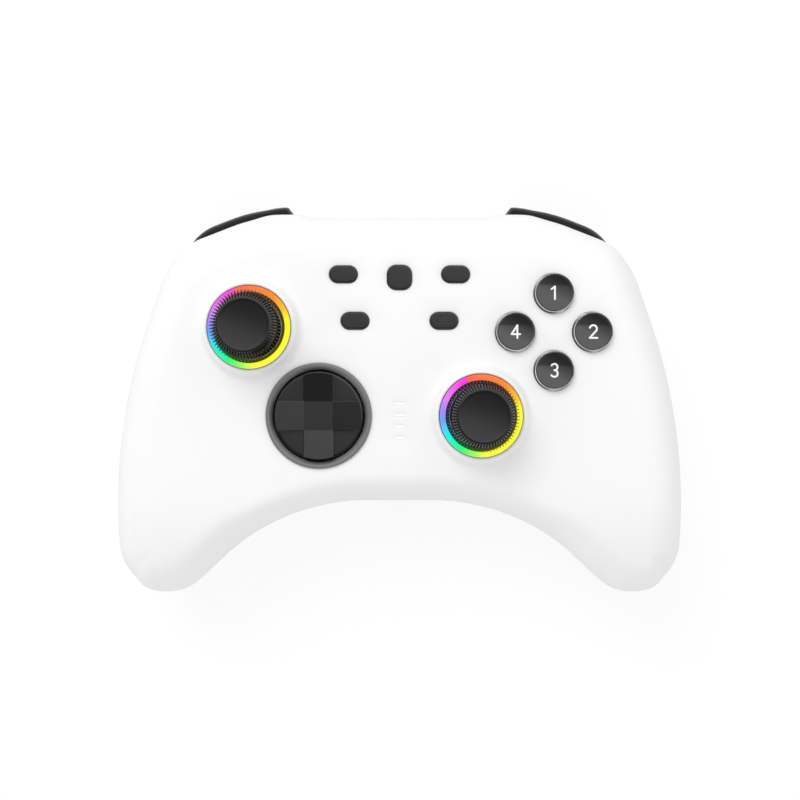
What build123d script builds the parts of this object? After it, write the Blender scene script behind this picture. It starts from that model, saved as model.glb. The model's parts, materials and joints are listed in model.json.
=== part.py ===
from build123d import *
from math import cos, radians, sin
import os

os.makedirs("parts", exist_ok=True)

# Shared clearances and overrun
fit_gap = 0.1            # between a piece and the seat that locates it
slide_gap = 0.2          # around a button in its hole
run_gap = 0.08           # round a pin or shaft that turns
rest_gap = 0.3           # under a piece that lies on its seat
overrun = 2.0            # how far every cut runs past its face

# Housing, plan outline: flat top edge, sloped shoulders, long sides, round grips, wide arch
body_width = 151.0
top_edge_y = 49.0
top_run_share = 0.498
shoulder_share = 0.8066
shoulder_y = 39.9
waist_y = -2.5
grip_corner_y = -68.7
arch_end_share = 0.408
arch_y = -26.7
top_corner_r = 38.0
shoulder_r = 20.0
waist_r = 150.0
grip_tip_r = 13.0
arch_r_share = 0.755

# Housing, heights and edges
face_z = 46.0
parting_z = 22.0
seam_gap = 0.2
droop_start_y = -26.0
droop_r = 42.0
droop_end_share = 0.75
tail_start_y = -26.0
tail_r = 60.0
tail_end_share = 0.8
top_fillet = 9.0
belly_chamfer = 9.0
side_wall = 3.0
face_wall = 2.0
floor_wall = 2.0

# Steps of the hollow inside the shells
grip_roof_z = 34.0
grip_roof_y = -30.0
tip_roof_z = 28.0
tip_roof_y = -44.0
rim_roof_z = 40.0
rim_inset = 7.5
keel_inset = 9.8
keel_top_z = 9.5
keel_y = -32.0
tail_floor_z = 14.0
tail_floor_y = -40.0

# Circuit board and its four posts
board_top_z = 31.6
board_thick = 1.6
board_edge_gap = 1.2
board_low_y = -16.0
board_tongue_half = 23.0
board_tongue_y = 45.0
board_inset = 11.0
board_post_r = 3.0
board_post_inset = 4.0
side_post_y = -6.0
tongue_post_x = 21.0
tongue_post_y = 38.0
board_screw_r = 1.2
board_screw_head_r = 2.4
board_screw_head = 1.5
board_screw_length = 7.0

# Case screws
case_post_r = 3.8
case_screw_r = 1.4
case_screw_head_r = 2.8
case_screw_head = 1.8
case_screw_seat_z = 7.8
case_screw_top_z = 27.5
side_screw_inset = 9.5
side_screw_y = 6.0
grip_screw_inset = 13.0
grip_screw_y = -44.0
arch_screw_inset = 6.5

# Thumbsticks
left_stick_share = -0.49934
left_stick_y = 18.2
right_stick_share = 0.27152
right_stick_y = -4.0
stick_pivot_z = 39.0
ring_outer_r = 10.45
ring_inner_r = 8.94
ring_low_z = 47.0
ring_top_z = 50.5
ring_chamfer = 0.5
collar_foot_r = 12.4
collar_top_r = 11.3
collar_top_z = 50.2
dome_r = 10.6
dome_gap = 0.4
dome_low_angle = 20.0
dome_high_angle = 70.0
dome_bands = 2
lining_low_r = 9.3
lining_high = (3.3, 8.8)
relief_top_angle = 46.6
neck_r = 3.2
cap_r = 8.52
cap_rim_r = 6.5
cap_dish_r = 5.9
cap_under_z = 56.2
cap_flank_z = 57.6
cap_top_z = 60.5
cap_dish_depth = 0.5
post_r = 1.0
post_low_z = 34.6
post_top_z = 55.0
post_gap = 0.05
module_size = 11.0
module_wall = 1.2
module_top_z = 42.5
module_floor = 0.8
click_size = 3.4
click_top_z = 33.9
yoke_half_width = 2.4
yoke_half_length = 4.0
yoke_rail = 0.7
yoke_end_wall = 1.0
yoke_half_height = 1.1
trunnion_r = 1.0
trunnion_end = 5.4
block_half = 1.5
block_half_height = 1.4
block_pin_r = 0.6
bow_under = 2.6
bow_half_width = 1.9
bow_slot_gap = 0.15
bow_slot_end = 0.8
sensor_depth = 3.0
sensor_width = 7.0
sensor_low_z = 32.6
sensor_height = 5.6

# Direction pad
dpad_share = -0.27152
dpad_y = -4.0
bezel_outer_r = 13.5
bezel_inner_r = 11.67
bezel_sleeve_r = 12.9
bezel_rise = 0.9
bezel_drop = 3.4
disc_r = 11.3
disc_low_z = 44.9
disc_thick = 1.4
cross_arm_width = 7.7
cross_reach = 11.1
cross_top_z = 47.9
cross_dish_r = 8.6
cross_dish_depth = 0.8
dpad_pivot_z = 43.4
dpad_hub_r = 2.8
dpad_hub_low_z = 44.3
rocker_size = 5.6
rocker_thick = 1.0
rocker_gap = 0.4
pivot_post_r = 1.6
pivot_foot_r = 3.4
pivot_foot = 1.2
dpad_foot_size = 2.4
dpad_foot_circle = 8.0

# Face buttons
face_centre_share = 0.51921
face_centre_y = 17.3
face_pitch = 9.8
face_button_r = 4.95
face_button_top_z = 47.2
face_flange_r = 5.7
face_flange = 1.0
face_stem_size = 4.4
lens_r = 4.65
lens_depth = 0.7
lens_rise = 0.7
lens_edge = 0.45

# Function buttons and their row heights
option_width = 7.35
option_height = 4.4
home_size = 6.3
home_corner_r = 2.3
function_top_z = 46.7
function_flange = 0.8
function_lip = 0.6
function_stem = 2.0
function_edge = 0.3
home_y = 31.1
upper_option_share = 0.18874
upper_option_y = 31.9
lower_option_share = 0.14967
lower_option_y = 20.1

# Rubber contact sheets under the buttons
sheet_thick = 0.8
contact_rise = 1.7
contact_size = 3.6
function_contact_size = 2.4
face_sheet_size = 20.0
dpad_sheet_r = 11.5
function_sheet_half_width = 17.6
function_sheet_low_y = 17.4
function_sheet_high_y = 34.6

# Indicator lights
light_slot_length = 3.0
light_slot_width = 0.75
light_slot_ys = [-0.9, -3.8, -6.7, -9.6]
light_bar_half_width = 2.4
light_bar_margin = 1.6
light_bar_thick = 1.0

# Bumpers
bumper_low_z = 24.0
bumper_top_z = 36.0
bumper_inner_share = 0.37351
bumper_outer_share = 0.74172
bumper_stand_out = 2.5
bumper_nose_cut = 1.5
bumper_tail_r = 3.5
bumper_depth = 6.0
bumper_pocket_depth = 8.0
bumper_back_wall = 2.0
bumper_gap = 0.4
bumper_pivot_share = 0.4
bumper_pivot_y = 45.2
bumper_pin_r = 1.2
bumper_pin_length = 0.9
switch_share = 0.60927
switch_width = 6.0
switch_depth = 3.4
switch_height = 3.2
switch_set_back = 12.12
switch_tip_size = 1.8
switch_tip_reach = 4.5

# Triggers, drawn in a frame turned to follow the shoulder
trigger_turn = 16.0
trigger_share = 0.52715
trigger_set_back = 13.74
trigger_z = 17.6
trigger_half_width = 12.0
trigger_side_gap = 0.4
trigger_back = 5.0
trigger_hub_r = 3.0
trigger_reach = 12.6
trigger_crown = 2.6
trigger_nose_r = 2.0
trigger_waist_reach = 11.2
trigger_waist_drop = 6.2
trigger_lip_reach = 12.2
trigger_lip_drop = 12.4
trigger_lip_thick = 1.8
trigger_heel_reach = 7.6
trigger_skin = 1.8
trigger_cheek = 1.6
trigger_pin_r = 1.5
trigger_pin_end = 14.8
spring_r = 2.7
spring_half_length = 2.6
hub_gap_half = 3.0
trigger_wall = 3.4

# Socket for the charging plug
port_width = 9.0
port_height = 3.2
port_depth = 7.4
port_corner_r = 1.3
port_wall = 0.35
port_mouth_depth = 6.2
tongue_width = 6.4
tongue_thick = 0.7
tongue_reach = 5.0

# Battery
battery_width = 52.0
battery_length = 33.0
battery_height = 8.0
battery_y = 4.0
battery_corner_r = 2.0

# Rumble motors in the grips
motor_inset = 15.3
motor_z = 19.0
motor_front_y = -14.5
motor_length = 15.0
motor_r = 6.0
motor_nose_r = 2.6
motor_nose = 1.2
motor_shaft_r = 1.0
motor_shaft_bore = 3.0
weight_r = 8.4
weight_hub_r = 2.6
weight_gap = 0.6
weight_thick = {"left": 6.5, "right": 4.5}
cradle_width = 13.0
cradle_length = 10.0
cradle_drop = 3.0
battery_rib_width = 40.0
battery_rib_thick = 1.2
battery_rib_height = 5.0

low_centre = (Align.CENTER, Align.CENTER, Align.MIN)
half_width = body_width / 2
top_run_x = top_run_share * half_width
shoulder_x = shoulder_share * half_width
arch_end_x = arch_end_share * half_width
arch_r = arch_r_share * half_width
bumper_inner_x = bumper_inner_share * half_width
bumper_outer_x = bumper_outer_share * half_width
bumper_pivot_x = bumper_pivot_share * half_width
switch_x = switch_share * half_width
trigger_x = trigger_share * half_width
shoulder_slope = (top_edge_y - shoulder_y) / (shoulder_x - top_run_x)
trigger_y = top_edge_y - (trigger_x - top_run_x) * shoulder_slope - trigger_set_back
switch_front_y = top_edge_y - (switch_x - top_run_x) * shoulder_slope - switch_set_back
motor_x = half_width - motor_inset
seam_low_z = parting_z - seam_gap / 2
seam_high_z = parting_z + seam_gap / 2
roof_z = face_z - face_wall
board_low_z = board_top_z - board_thick
sheet_top_z = board_top_z + sheet_thick
contact_top_z = sheet_top_z + contact_rise
stem_low_z = contact_top_z + rest_gap
sides = {"left": -1, "right": 1}

# Places of the controls, which spread with the housing
stick_places = {
    "left": (left_stick_share * half_width, left_stick_y),
    "right": (right_stick_share * half_width, right_stick_y),
}
dpad_x = dpad_share * half_width
face_centre_x = face_centre_share * half_width
home_place = (0, home_y)
upper_option_x = upper_option_share * half_width
lower_option_x = lower_option_share * half_width
option_places = {
    "upper_left_button": (-upper_option_x, upper_option_y),
    "upper_right_button": (upper_option_x, upper_option_y),
    "lower_left_button": (-lower_option_x, lower_option_y),
    "lower_right_button": (lower_option_x, lower_option_y),
}

# Places of the screws, which follow the sides, the arch and the board
side_screw_x = half_width - side_screw_inset
grip_screw_x = half_width - grip_screw_inset
case_screw_places = [
    (side_screw_x, side_screw_y), (-side_screw_x, side_screw_y), (grip_screw_x, grip_screw_y),
    (-grip_screw_x, grip_screw_y), (0, arch_y + arch_screw_inset),
]
board_half_width = side_screw_x - case_post_r - board_edge_gap
side_post_x = board_half_width - board_post_inset
board_post_places = [
    (side_post_x, side_post_y), (-side_post_x, side_post_y), (tongue_post_x, tongue_post_y),
    (-tongue_post_x, tongue_post_y),
]


# Plan outline of the housing
with BuildSketch() as housing_plan:
    with BuildLine():
        right_half = FilletPolyline(
            (0, top_edge_y), (top_run_x, top_edge_y), (shoulder_x, shoulder_y), (half_width, waist_y),
            (half_width, grip_corner_y), (arch_end_x, arch_y), (0, arch_y),
            radius=[top_corner_r, shoulder_r, waist_r, grip_tip_r, arch_r],
        )
        mirror(right_half, about=Plane.YZ)
    make_face()


def plan_inset(depth):
    """The housing outline drawn in by a depth, or let out where it is negative."""
    with BuildSketch() as inner:
        add(housing_plan.sketch)
        offset(amount=-depth)
    return inner.sketch


def plan_band(plan, low_y, high_y):
    """The stretch of a plan between two distances along Y."""
    with BuildSketch() as band:
        add(plan)
        with Locations((0, (low_y + high_y) / 2)):
            Rectangle(body_width + 2 * overrun, high_y - low_y, mode=Mode.INTERSECT)
    return band.sketch


def bumper_zone(depth, stand_out, inner_x, outer_x, shoulders=(-1, 1)):
    """The strip along the shoulders that a bumper or its pocket takes."""
    with BuildSketch() as zone:
        with Locations(*[((inner_x + outer_x) / 2 * side, top_edge_y) for side in shoulders]):
            Rectangle(outer_x - inner_x, top_edge_y)
        add(plan_inset(-stand_out), mode=Mode.INTERSECT)
        add(plan_inset(depth), mode=Mode.SUBTRACT)
    return zone.sketch


def trigger_plane(side, height=0):
    """The trigger's plan frame: X along the pin, Y outwards from the housing."""
    turn = radians(trigger_turn) * side
    return Plane((trigger_x * side, trigger_y, height), x_dir=(cos(turn), -sin(turn), 0), z_dir=(0, 0, 1))


def trigger_side_plane(side):
    """The trigger's side view from the pin's axis: X outwards from the housing, Y up."""
    plan = trigger_plane(side, trigger_z)
    return Plane(plan.origin, x_dir=plan.y_dir, z_dir=plan.x_dir)


def upright(x, y, height=0):
    """A standing plane through a vertical axis: X is the radius, Y the height."""
    return Plane((x, y, height), x_dir=(1, 0, 0), z_dir=(0, -1, 0))


def trigger_zone(side, half_width, back):
    """The notch that a trigger takes out of the rear shell's plan."""
    with BuildSketch(trigger_plane(side)) as zone:
        with Locations((0, top_edge_y / 2 - back)):
            Rectangle(2 * half_width, top_edge_y)
    return zone.sketch


def rim_edges(faces):
    """The edges that only one of the given faces has."""
    return [edge for edge in faces.edges() if sum(1 for face in faces if edge in face.edges()) == 1]


# Whole outer form of the housing before it is parted
with BuildPart() as housing:
    with BuildSketch():
        add(housing_plan.sketch)
    extrude(amount=face_z)
    # The face falls away towards the grip tips
    with BuildSketch(Plane.YZ):
        with BuildLine():
            fall_end_y = droop_start_y - droop_end_share * droop_r
            fall = TangentArc(
                (droop_start_y, face_z),
                (fall_end_y, face_z - droop_r + droop_r * (1 - droop_end_share**2) ** 0.5),
                tangent=(-1, 0),
            )
            Polyline(fall @ 1, (fall_end_y, face_z + overrun), (droop_start_y, face_z + overrun),
                     (droop_start_y, face_z))
        make_face()
    extrude(amount=body_width, both=True, mode=Mode.SUBTRACT)
    # The belly rises towards the grip tips
    with BuildSketch(Plane.YZ):
        with BuildLine():
            rise_end_y = tail_start_y - tail_end_share * tail_r
            rise = TangentArc(
                (tail_start_y, 0),
                (rise_end_y, tail_r - tail_r * (1 - tail_end_share**2) ** 0.5),
                tangent=(-1, 0),
            )
            Polyline(rise @ 1, (rise_end_y, -overrun), (tail_start_y, -overrun), (tail_start_y, 0))
        make_face()
    extrude(amount=body_width, both=True, mode=Mode.SUBTRACT)
    fillet(rim_edges(housing.faces().filter_by(lambda face: face.normal_at().Z > 0.3)), top_fillet)
    chamfer(rim_edges(housing.faces().filter_by(lambda face: face.normal_at().Z < -0.3)), belly_chamfer)

# Plans of the hollow, of the bumper pockets and of the trigger notches
wall_plan = plan_inset(side_wall)
roof_plan = plan_inset(rim_inset)
keel_plan = plan_inset(keel_inset)
bumper_keep = bumper_zone(
    bumper_pocket_depth + bumper_back_wall, overrun,
    bumper_inner_x - bumper_back_wall - bumper_gap, bumper_outer_x + bumper_back_wall + bumper_gap,
)
bumper_pocket = bumper_zone(
    bumper_pocket_depth, overrun, bumper_inner_x - bumper_gap, bumper_outer_x + bumper_gap)

# Front shell: face, side walls, stick collars, button holes, bumper pockets and posts
front_steps = [
    (plan_band(wall_plan, tip_roof_y, top_edge_y), grip_roof_z, bumper_keep),
    (plan_band(wall_plan, -body_width, tip_roof_y + overrun), tip_roof_z, None),
    (plan_band(wall_plan, grip_roof_y, top_edge_y), rim_roof_z, bumper_keep),
]
with BuildPart() as front_shell:
    add(housing.part)
    split(bisect_by=Plane.XY.offset(seam_high_z), keep=Keep.TOP)
    for plan, step_roof_z, keep in front_steps:
        with BuildSketch(Plane.XY.offset(seam_high_z)):
            add(plan)
            if keep:
                add(keep, mode=Mode.SUBTRACT)
        extrude(amount=step_roof_z - seam_high_z, mode=Mode.SUBTRACT)
    with BuildSketch(Plane.XY.offset(rim_roof_z)):
        add(plan_band(roof_plan, droop_start_y + overrun, top_edge_y))
    extrude(amount=roof_z - rim_roof_z, mode=Mode.SUBTRACT)
    # Posts that the case screws and the board screws bite into
    with Locations(*[(x, y, seam_high_z) for x, y in case_screw_places if y > tip_roof_y]):
        Cylinder(case_post_r, rim_roof_z + face_wall / 2 - seam_high_z, align=low_centre)
    with Locations(*[(x, y, seam_high_z) for x, y in case_screw_places if y <= tip_roof_y]):
        Cylinder(case_post_r, tip_roof_z + face_wall / 2 - seam_high_z, align=low_centre)
    with Locations(*[(x, y, board_top_z) for x, y in board_post_places]):
        Cylinder(board_post_r, roof_z + face_wall / 2 - board_top_z, align=low_centre)
    with Locations(*[(x, y, seam_high_z) for x, y in case_screw_places]):
        Cylinder(case_screw_r + fit_gap, case_screw_top_z + rest_gap - seam_high_z,
                 align=low_centre, mode=Mode.SUBTRACT)
    with Locations(*[(x, y, board_top_z) for x, y in board_post_places]):
        Cylinder(board_screw_r + fit_gap, board_screw_length - board_thick + rest_gap,
                 align=low_centre, mode=Mode.SUBTRACT)
    # Raised collar round each stick, with a seat for the light ring and a relief for the dome
    relief_r = dome_r + dome_gap
    band_angles = [relief_top_angle * step / 3 for step in range(4)]
    band_r = relief_r / cos(radians(relief_top_angle / 6))
    for x, y in stick_places.values():
        with Locations((x, y, face_z)):
            Cone(collar_foot_r, collar_top_r, collar_top_z - face_z, align=low_centre)
        with Locations((x, y, ring_low_z)):
            Cylinder(ring_outer_r + fit_gap, ring_top_z, align=low_centre,
                     mode=Mode.SUBTRACT)
        with BuildSketch(upright(x, y, stick_pivot_z)):
            with BuildLine():
                bands = Polyline(*[(band_r * cos(radians(a)), band_r * sin(radians(a))) for a in band_angles])
                Polyline(bands @ 1, ((bands @ 1).X, ring_top_z - stick_pivot_z), (0, ring_top_z - stick_pivot_z),
                         (0, 0), bands @ 0)
            make_face()
        revolve(axis=Axis((x, y, 0), (0, 0, 1)), mode=Mode.SUBTRACT)
    # Holes for the direction pad, the buttons and the indicator lights
    with Locations((dpad_x, dpad_y, face_z)):
        Cylinder(bezel_sleeve_r + fit_gap, 2 * (face_wall + overrun), mode=Mode.SUBTRACT)
    with Locations((face_centre_x, face_centre_y, face_z)):
        with PolarLocations(face_pitch, 4):
            Cylinder(face_button_r + slide_gap, 2 * (face_wall + overrun), mode=Mode.SUBTRACT)
    with BuildSketch(Plane.XY.offset(face_z + overrun)):
        with Locations(*option_places.values()):
            SlotOverall(option_width + 2 * slide_gap, option_height + 2 * slide_gap)
        with Locations(home_place):
            RectangleRounded(home_size + 2 * slide_gap, home_size + 2 * slide_gap, home_corner_r + slide_gap)
        with Locations(*[(0, y) for y in light_slot_ys]):
            Rectangle(light_slot_length + 2 * fit_gap, light_slot_width + 2 * fit_gap)
    extrude(amount=-2 * overrun - face_wall, mode=Mode.SUBTRACT)
    # Pocket for each bumper, the sockets of its two pins and the window for its switch
    with BuildSketch(Plane.XY.offset(bumper_low_z - bumper_gap)):
        add(bumper_pocket)
    extrude(amount=bumper_top_z - bumper_low_z + 2 * bumper_gap, mode=Mode.SUBTRACT)
    bumper_middle_z = (bumper_low_z + bumper_top_z) / 2
    with Locations(*[(bumper_pivot_x * side, bumper_pivot_y, bumper_middle_z) for side in (-1, 1)]):
        Cylinder(bumper_pin_r + run_gap, bumper_top_z - bumper_low_z + 2 * (bumper_gap + bumper_pin_length),
                 mode=Mode.SUBTRACT)
    for side in (-1, 1):
        with BuildSketch(Plane.XY.offset(board_top_z)):
            with Locations((switch_x * side, (top_edge_y + shoulder_y) / 2 - bumper_pocket_depth)):
                Rectangle(2 * switch_tip_size, 2 * bumper_pocket_depth)
            add(bumper_zone(bumper_pocket_depth - overrun, overrun, bumper_inner_x, bumper_outer_x),
                mode=Mode.SUBTRACT)
        extrude(amount=switch_height, mode=Mode.SUBTRACT)
    # Slot for the charging socket
    with BuildSketch(Plane.XZ.offset(-top_edge_y - overrun)):
        with Locations((0, board_low_z - port_height / 2)):
            RectangleRounded(port_width + 2 * fit_gap, port_height + 2 * fit_gap, port_corner_r)
    extrude(amount=side_wall + 2 * overrun, mode=Mode.SUBTRACT)
front_shell.part.label = "front_shell"
export_step(front_shell.part, "parts/front_shell.step")

# Rear shell: belly, side walls, trigger notches, screw posts, battery ribs and motor cradles
trigger_keeps = [
    trigger_zone(side, trigger_half_width + trigger_side_gap + trigger_wall, trigger_back + face_wall)
    for side in sides.values()
]
rear_steps = [
    (plan_band(keel_plan, keel_y, top_edge_y), floor_wall, keel_top_z),
    (plan_band(wall_plan, tail_floor_y, top_edge_y), keel_top_z, seam_high_z),
    (plan_band(wall_plan, -body_width, tail_floor_y + overrun), tail_floor_z, seam_high_z),
]
with BuildPart() as rear_shell:
    add(housing.part)
    split(bisect_by=Plane.XY.offset(seam_low_z), keep=Keep.BOTTOM)
    for plan, low_z, high_z in rear_steps:
        with BuildSketch(Plane.XY.offset(low_z)):
            add(plan)
            add(trigger_keeps, mode=Mode.SUBTRACT)
        extrude(amount=high_z - low_z, mode=Mode.SUBTRACT)
    for x, y in case_screw_places:
        post_foot_z = tail_floor_z if y < tip_roof_y + overrun else keel_top_z
        with Locations((x, y, post_foot_z)):
            Cylinder(case_post_r, seam_high_z - post_foot_z, align=low_centre)
        with Locations((x, y, -overrun)):
            Cylinder(case_screw_head_r + slide_gap, case_screw_seat_z + overrun,
                     align=low_centre, mode=Mode.SUBTRACT)
            Cylinder(case_screw_r + slide_gap, face_z, align=low_centre, mode=Mode.SUBTRACT)
    for side in sides.values():
        with Locations((motor_x * side, motor_front_y - motor_length / 2, floor_wall)):
            Box(cradle_width, cradle_length, motor_z - cradle_drop - floor_wall, align=low_centre)
        with BuildSketch(Plane.XZ):
            with Locations((motor_x * side, motor_z)):
                Circle(motor_r + rest_gap)
        extrude(amount=arch_end_x, mode=Mode.SUBTRACT)
        with BuildSketch(Plane.XY):
            add(trigger_zone(side, trigger_half_width + trigger_side_gap, trigger_back))
        extrude(amount=face_z, mode=Mode.SUBTRACT)
        with BuildSketch(trigger_side_plane(side)):
            Circle(trigger_pin_r + run_gap)
        extrude(amount=trigger_pin_end + rest_gap, both=True, mode=Mode.SUBTRACT)
        with Locations((0, battery_y + side * (battery_length / 2 + rest_gap + battery_rib_thick / 2), floor_wall)):
            Box(battery_rib_width, battery_rib_thick, battery_rib_height, align=low_centre)
rear_shell.part.label = "rear_shell"
export_step(rear_shell.part, "parts/rear_shell.step")

# Circuit board with a tongue under the charging socket
with BuildPart() as main_board:
    with BuildSketch(Plane.XY.offset(board_low_z)):
        with Locations((0, board_low_y)):
            Rectangle(2 * board_half_width, top_edge_y - board_low_y, align=(Align.CENTER, Align.MIN))
        add(plan_inset(board_inset), mode=Mode.INTERSECT)
        with Locations((0, board_tongue_y)):
            Rectangle(2 * board_tongue_half, board_tongue_y / 2, align=(Align.CENTER, Align.MAX))
        with Locations(*board_post_places):
            Circle(board_screw_r + fit_gap, mode=Mode.SUBTRACT)
    extrude(amount=board_thick)
main_board.part.label = "main_board"
export_step(main_board.part, "parts/main_board.step")

# Screws that hold the board to the front shell's posts
with BuildPart() as board_screws:
    with Locations(*[(x, y, board_low_z - board_screw_head) for x, y in board_post_places]):
        Cylinder(board_screw_head_r, board_screw_head, align=low_centre)
        Cylinder(board_screw_r, board_screw_head + board_screw_length - rest_gap, align=low_centre)
board_screws.part.label = "board_screws"
export_step(board_screws.part, "parts/board_screws.step")

# Screws that close the two shells from the belly
with BuildPart() as case_screws:
    with Locations(*[(x, y, case_screw_seat_z) for x, y in case_screw_places]):
        Cylinder(case_screw_head_r, case_screw_head, align=(Align.CENTER, Align.CENTER, Align.MAX))
        Cylinder(case_screw_r, case_screw_top_z - case_screw_seat_z, align=low_centre)
case_screws.part.label = "case_screws"
export_step(case_screws.part, "parts/case_screws.step")

# Battery pack on the belly floor
with BuildPart() as battery_pack:
    with BuildSketch(Plane.XY.offset(floor_wall + rest_gap)):
        with Locations((0, battery_y)):
            RectangleRounded(battery_width, battery_length, battery_corner_r)
    extrude(amount=battery_height)
battery_pack.part.label = "battery_pack"
export_step(battery_pack.part, "parts/battery_pack.step")

# Charging socket: a folded metal shell with its contact tongue
with BuildPart() as usb_port:
    with BuildSketch(Plane.XZ.offset(-top_edge_y)):
        with Locations((0, board_low_z - port_height / 2)):
            RectangleRounded(port_width, port_height, port_corner_r)
    extrude(amount=port_depth)
    with BuildSketch(Plane.XZ.offset(-top_edge_y)):
        with Locations((0, board_low_z - port_height / 2)):
            RectangleRounded(port_width - 2 * port_wall, port_height - 2 * port_wall, port_corner_r - port_wall)
    extrude(amount=port_mouth_depth, mode=Mode.SUBTRACT)
    with Locations((0, top_edge_y - port_mouth_depth, board_low_z - port_height / 2)):
        Box(tongue_width, tongue_reach, tongue_thick, align=(Align.CENTER, Align.MIN, Align.CENTER))
usb_port.part.label = "usb_c_port"
export_step(usb_port.part, "parts/usb_c_port.step")

# Light pipe with a finger in each indicator slot
with BuildPart() as light_pipe:
    light_low_y = min(light_slot_ys) - light_bar_margin
    light_high_y = max(light_slot_ys) + light_bar_margin
    with Locations((0, (light_low_y + light_high_y) / 2, roof_z)):
        Box(2 * light_bar_half_width, light_high_y - light_low_y, light_bar_thick,
            align=(Align.CENTER, Align.CENTER, Align.MAX))
    with Locations(*[(0, y, roof_z) for y in light_slot_ys]):
        Box(light_slot_length, light_slot_width, face_wall, align=low_centre)
light_pipe.part.label = "led_light_pipe"
export_step(light_pipe.part, "parts/led_light_pipe.step")

# Thumbsticks: cap with its dome, post, gimbal and light ring
dome_angles = [
    dome_low_angle + (dome_high_angle - dome_low_angle) * step / dome_bands for step in range(dome_bands + 1)]
dome_skin = [(dome_r * cos(radians(a)), dome_r * sin(radians(a))) for a in dome_angles]
cap_outline = [
    (0, cap_top_z - cap_dish_depth - stick_pivot_z), (cap_dish_r, cap_top_z - cap_dish_depth - stick_pivot_z),
    (cap_dish_r, cap_top_z - stick_pivot_z),
    (cap_rim_r, cap_top_z - stick_pivot_z), (cap_r, cap_flank_z - stick_pivot_z),
    (cap_r, cap_under_z - stick_pivot_z), (neck_r, cap_under_z - stick_pivot_z),
]
inner_half = module_size / 2 - module_wall
for name, (x, y) in stick_places.items():
    with BuildPart() as stick_cap:
        with BuildSketch(upright(x, y, stick_pivot_z)):
            with BuildLine():
                Polyline(*cap_outline, (neck_r, dome_skin[-1][1]), *reversed(dome_skin),
                         (lining_low_r, dome_skin[0][1]), lining_high,
                         (post_r + post_gap, lining_high[1]), (post_r + post_gap, post_top_z - stick_pivot_z),
                         (0, post_top_z - stick_pivot_z), close=True)
            make_face()
        revolve(axis=Axis((x, y, 0), (0, 0, 1)))
    stick_cap.part.label = f"{name}_stick_cap"
    export_step(stick_cap.part, f"parts/{name}_stick_cap.step")

    with BuildPart() as stick_post:
        with Locations((x, y, post_low_z)):
            Cylinder(post_r, post_top_z - post_low_z, align=low_centre)
    stick_post.part.label = f"{name}_stick_post"
    export_step(stick_post.part, f"parts/{name}_stick_post.step")

    with BuildPart() as pivot_block:
        with Locations((x, y, stick_pivot_z)):
            Box(2 * block_half, 2 * block_half, 2 * block_half_height)
            Cylinder(block_pin_r, 2 * (yoke_half_width - post_gap), rotation=(90, 0, 0))
            Cylinder(post_r + post_gap, 4 * block_half_height, mode=Mode.SUBTRACT)
    pivot_block.part.label = f"{name}_stick_pivot_block"
    export_step(pivot_block.part, f"parts/{name}_stick_pivot_block.step")

    with BuildPart() as lower_yoke:
        with Locations((x, y, stick_pivot_z)):
            Box(2 * yoke_half_length, 2 * yoke_half_width, 2 * yoke_half_height)
            Cylinder(trunnion_r, 2 * trunnion_end, rotation=(0, 90, 0))
            Box(2 * (yoke_half_length - yoke_end_wall), 2 * (yoke_half_width - yoke_rail), 4 * yoke_half_height,
                mode=Mode.SUBTRACT)
            Cylinder(block_pin_r + run_gap, 4 * yoke_half_width, rotation=(90, 0, 0), mode=Mode.SUBTRACT)
    lower_yoke.part.label = f"{name}_stick_lower_yoke"
    export_step(lower_yoke.part, f"parts/{name}_stick_lower_yoke.step")

    bow_top = module_top_z - stick_pivot_z
    with BuildPart() as upper_yoke:
        with Locations((x, y, stick_pivot_z)):
            Cylinder(trunnion_r, 2 * trunnion_end, rotation=(90, 0, 0))
        with Locations((x, y, stick_pivot_z - yoke_half_height)):
            Box(2 * bow_half_width, 2 * yoke_half_length, bow_top + yoke_half_height, align=low_centre)
            Box(4 * bow_half_width, 2 * (yoke_half_length - bow_slot_end), bow_under + yoke_half_height,
                align=low_centre, mode=Mode.SUBTRACT)
        with Locations((x, y, stick_pivot_z)):
            Box(2 * (post_r + bow_slot_gap), 2 * (yoke_half_length - bow_slot_end), bow_top, align=low_centre,
                mode=Mode.SUBTRACT)
    upper_yoke.part.label = f"{name}_stick_upper_yoke"
    export_step(upper_yoke.part, f"parts/{name}_stick_upper_yoke.step")

    with BuildPart() as module_frame:
        with Locations((x, y, board_top_z)):
            Box(module_size, module_size, module_top_z - board_top_z, align=low_centre)
        with Locations((x, y, board_top_z + module_floor)):
            Box(2 * inner_half, 2 * inner_half, module_top_z, align=low_centre, mode=Mode.SUBTRACT)
        with Locations((x, y, board_top_z)):
            Box(click_size, click_size, click_top_z - board_top_z, align=low_centre)
        with Locations((x, y, stick_pivot_z)):
            Cylinder(trunnion_r + run_gap, 2 * module_size, rotation=(0, 90, 0), mode=Mode.SUBTRACT)
            Cylinder(trunnion_r + run_gap, 2 * module_size, rotation=(90, 0, 0), mode=Mode.SUBTRACT)
    module_frame.part.label = f"{name}_stick_frame"
    export_step(module_frame.part, f"parts/{name}_stick_frame.step")

    with BuildPart() as stick_sensors:
        with Locations((x + (module_size + sensor_depth) / 2, y, sensor_low_z)):
            Box(sensor_depth, sensor_width, sensor_height, align=low_centre)
        with Locations((x, y + (module_size + sensor_depth) / 2, sensor_low_z)):
            Box(sensor_width, sensor_depth, sensor_height, align=low_centre)
    stick_sensors.part.label = f"{name}_stick_sensors"
    export_step(stick_sensors.part, f"parts/{name}_stick_sensors.step")

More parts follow.
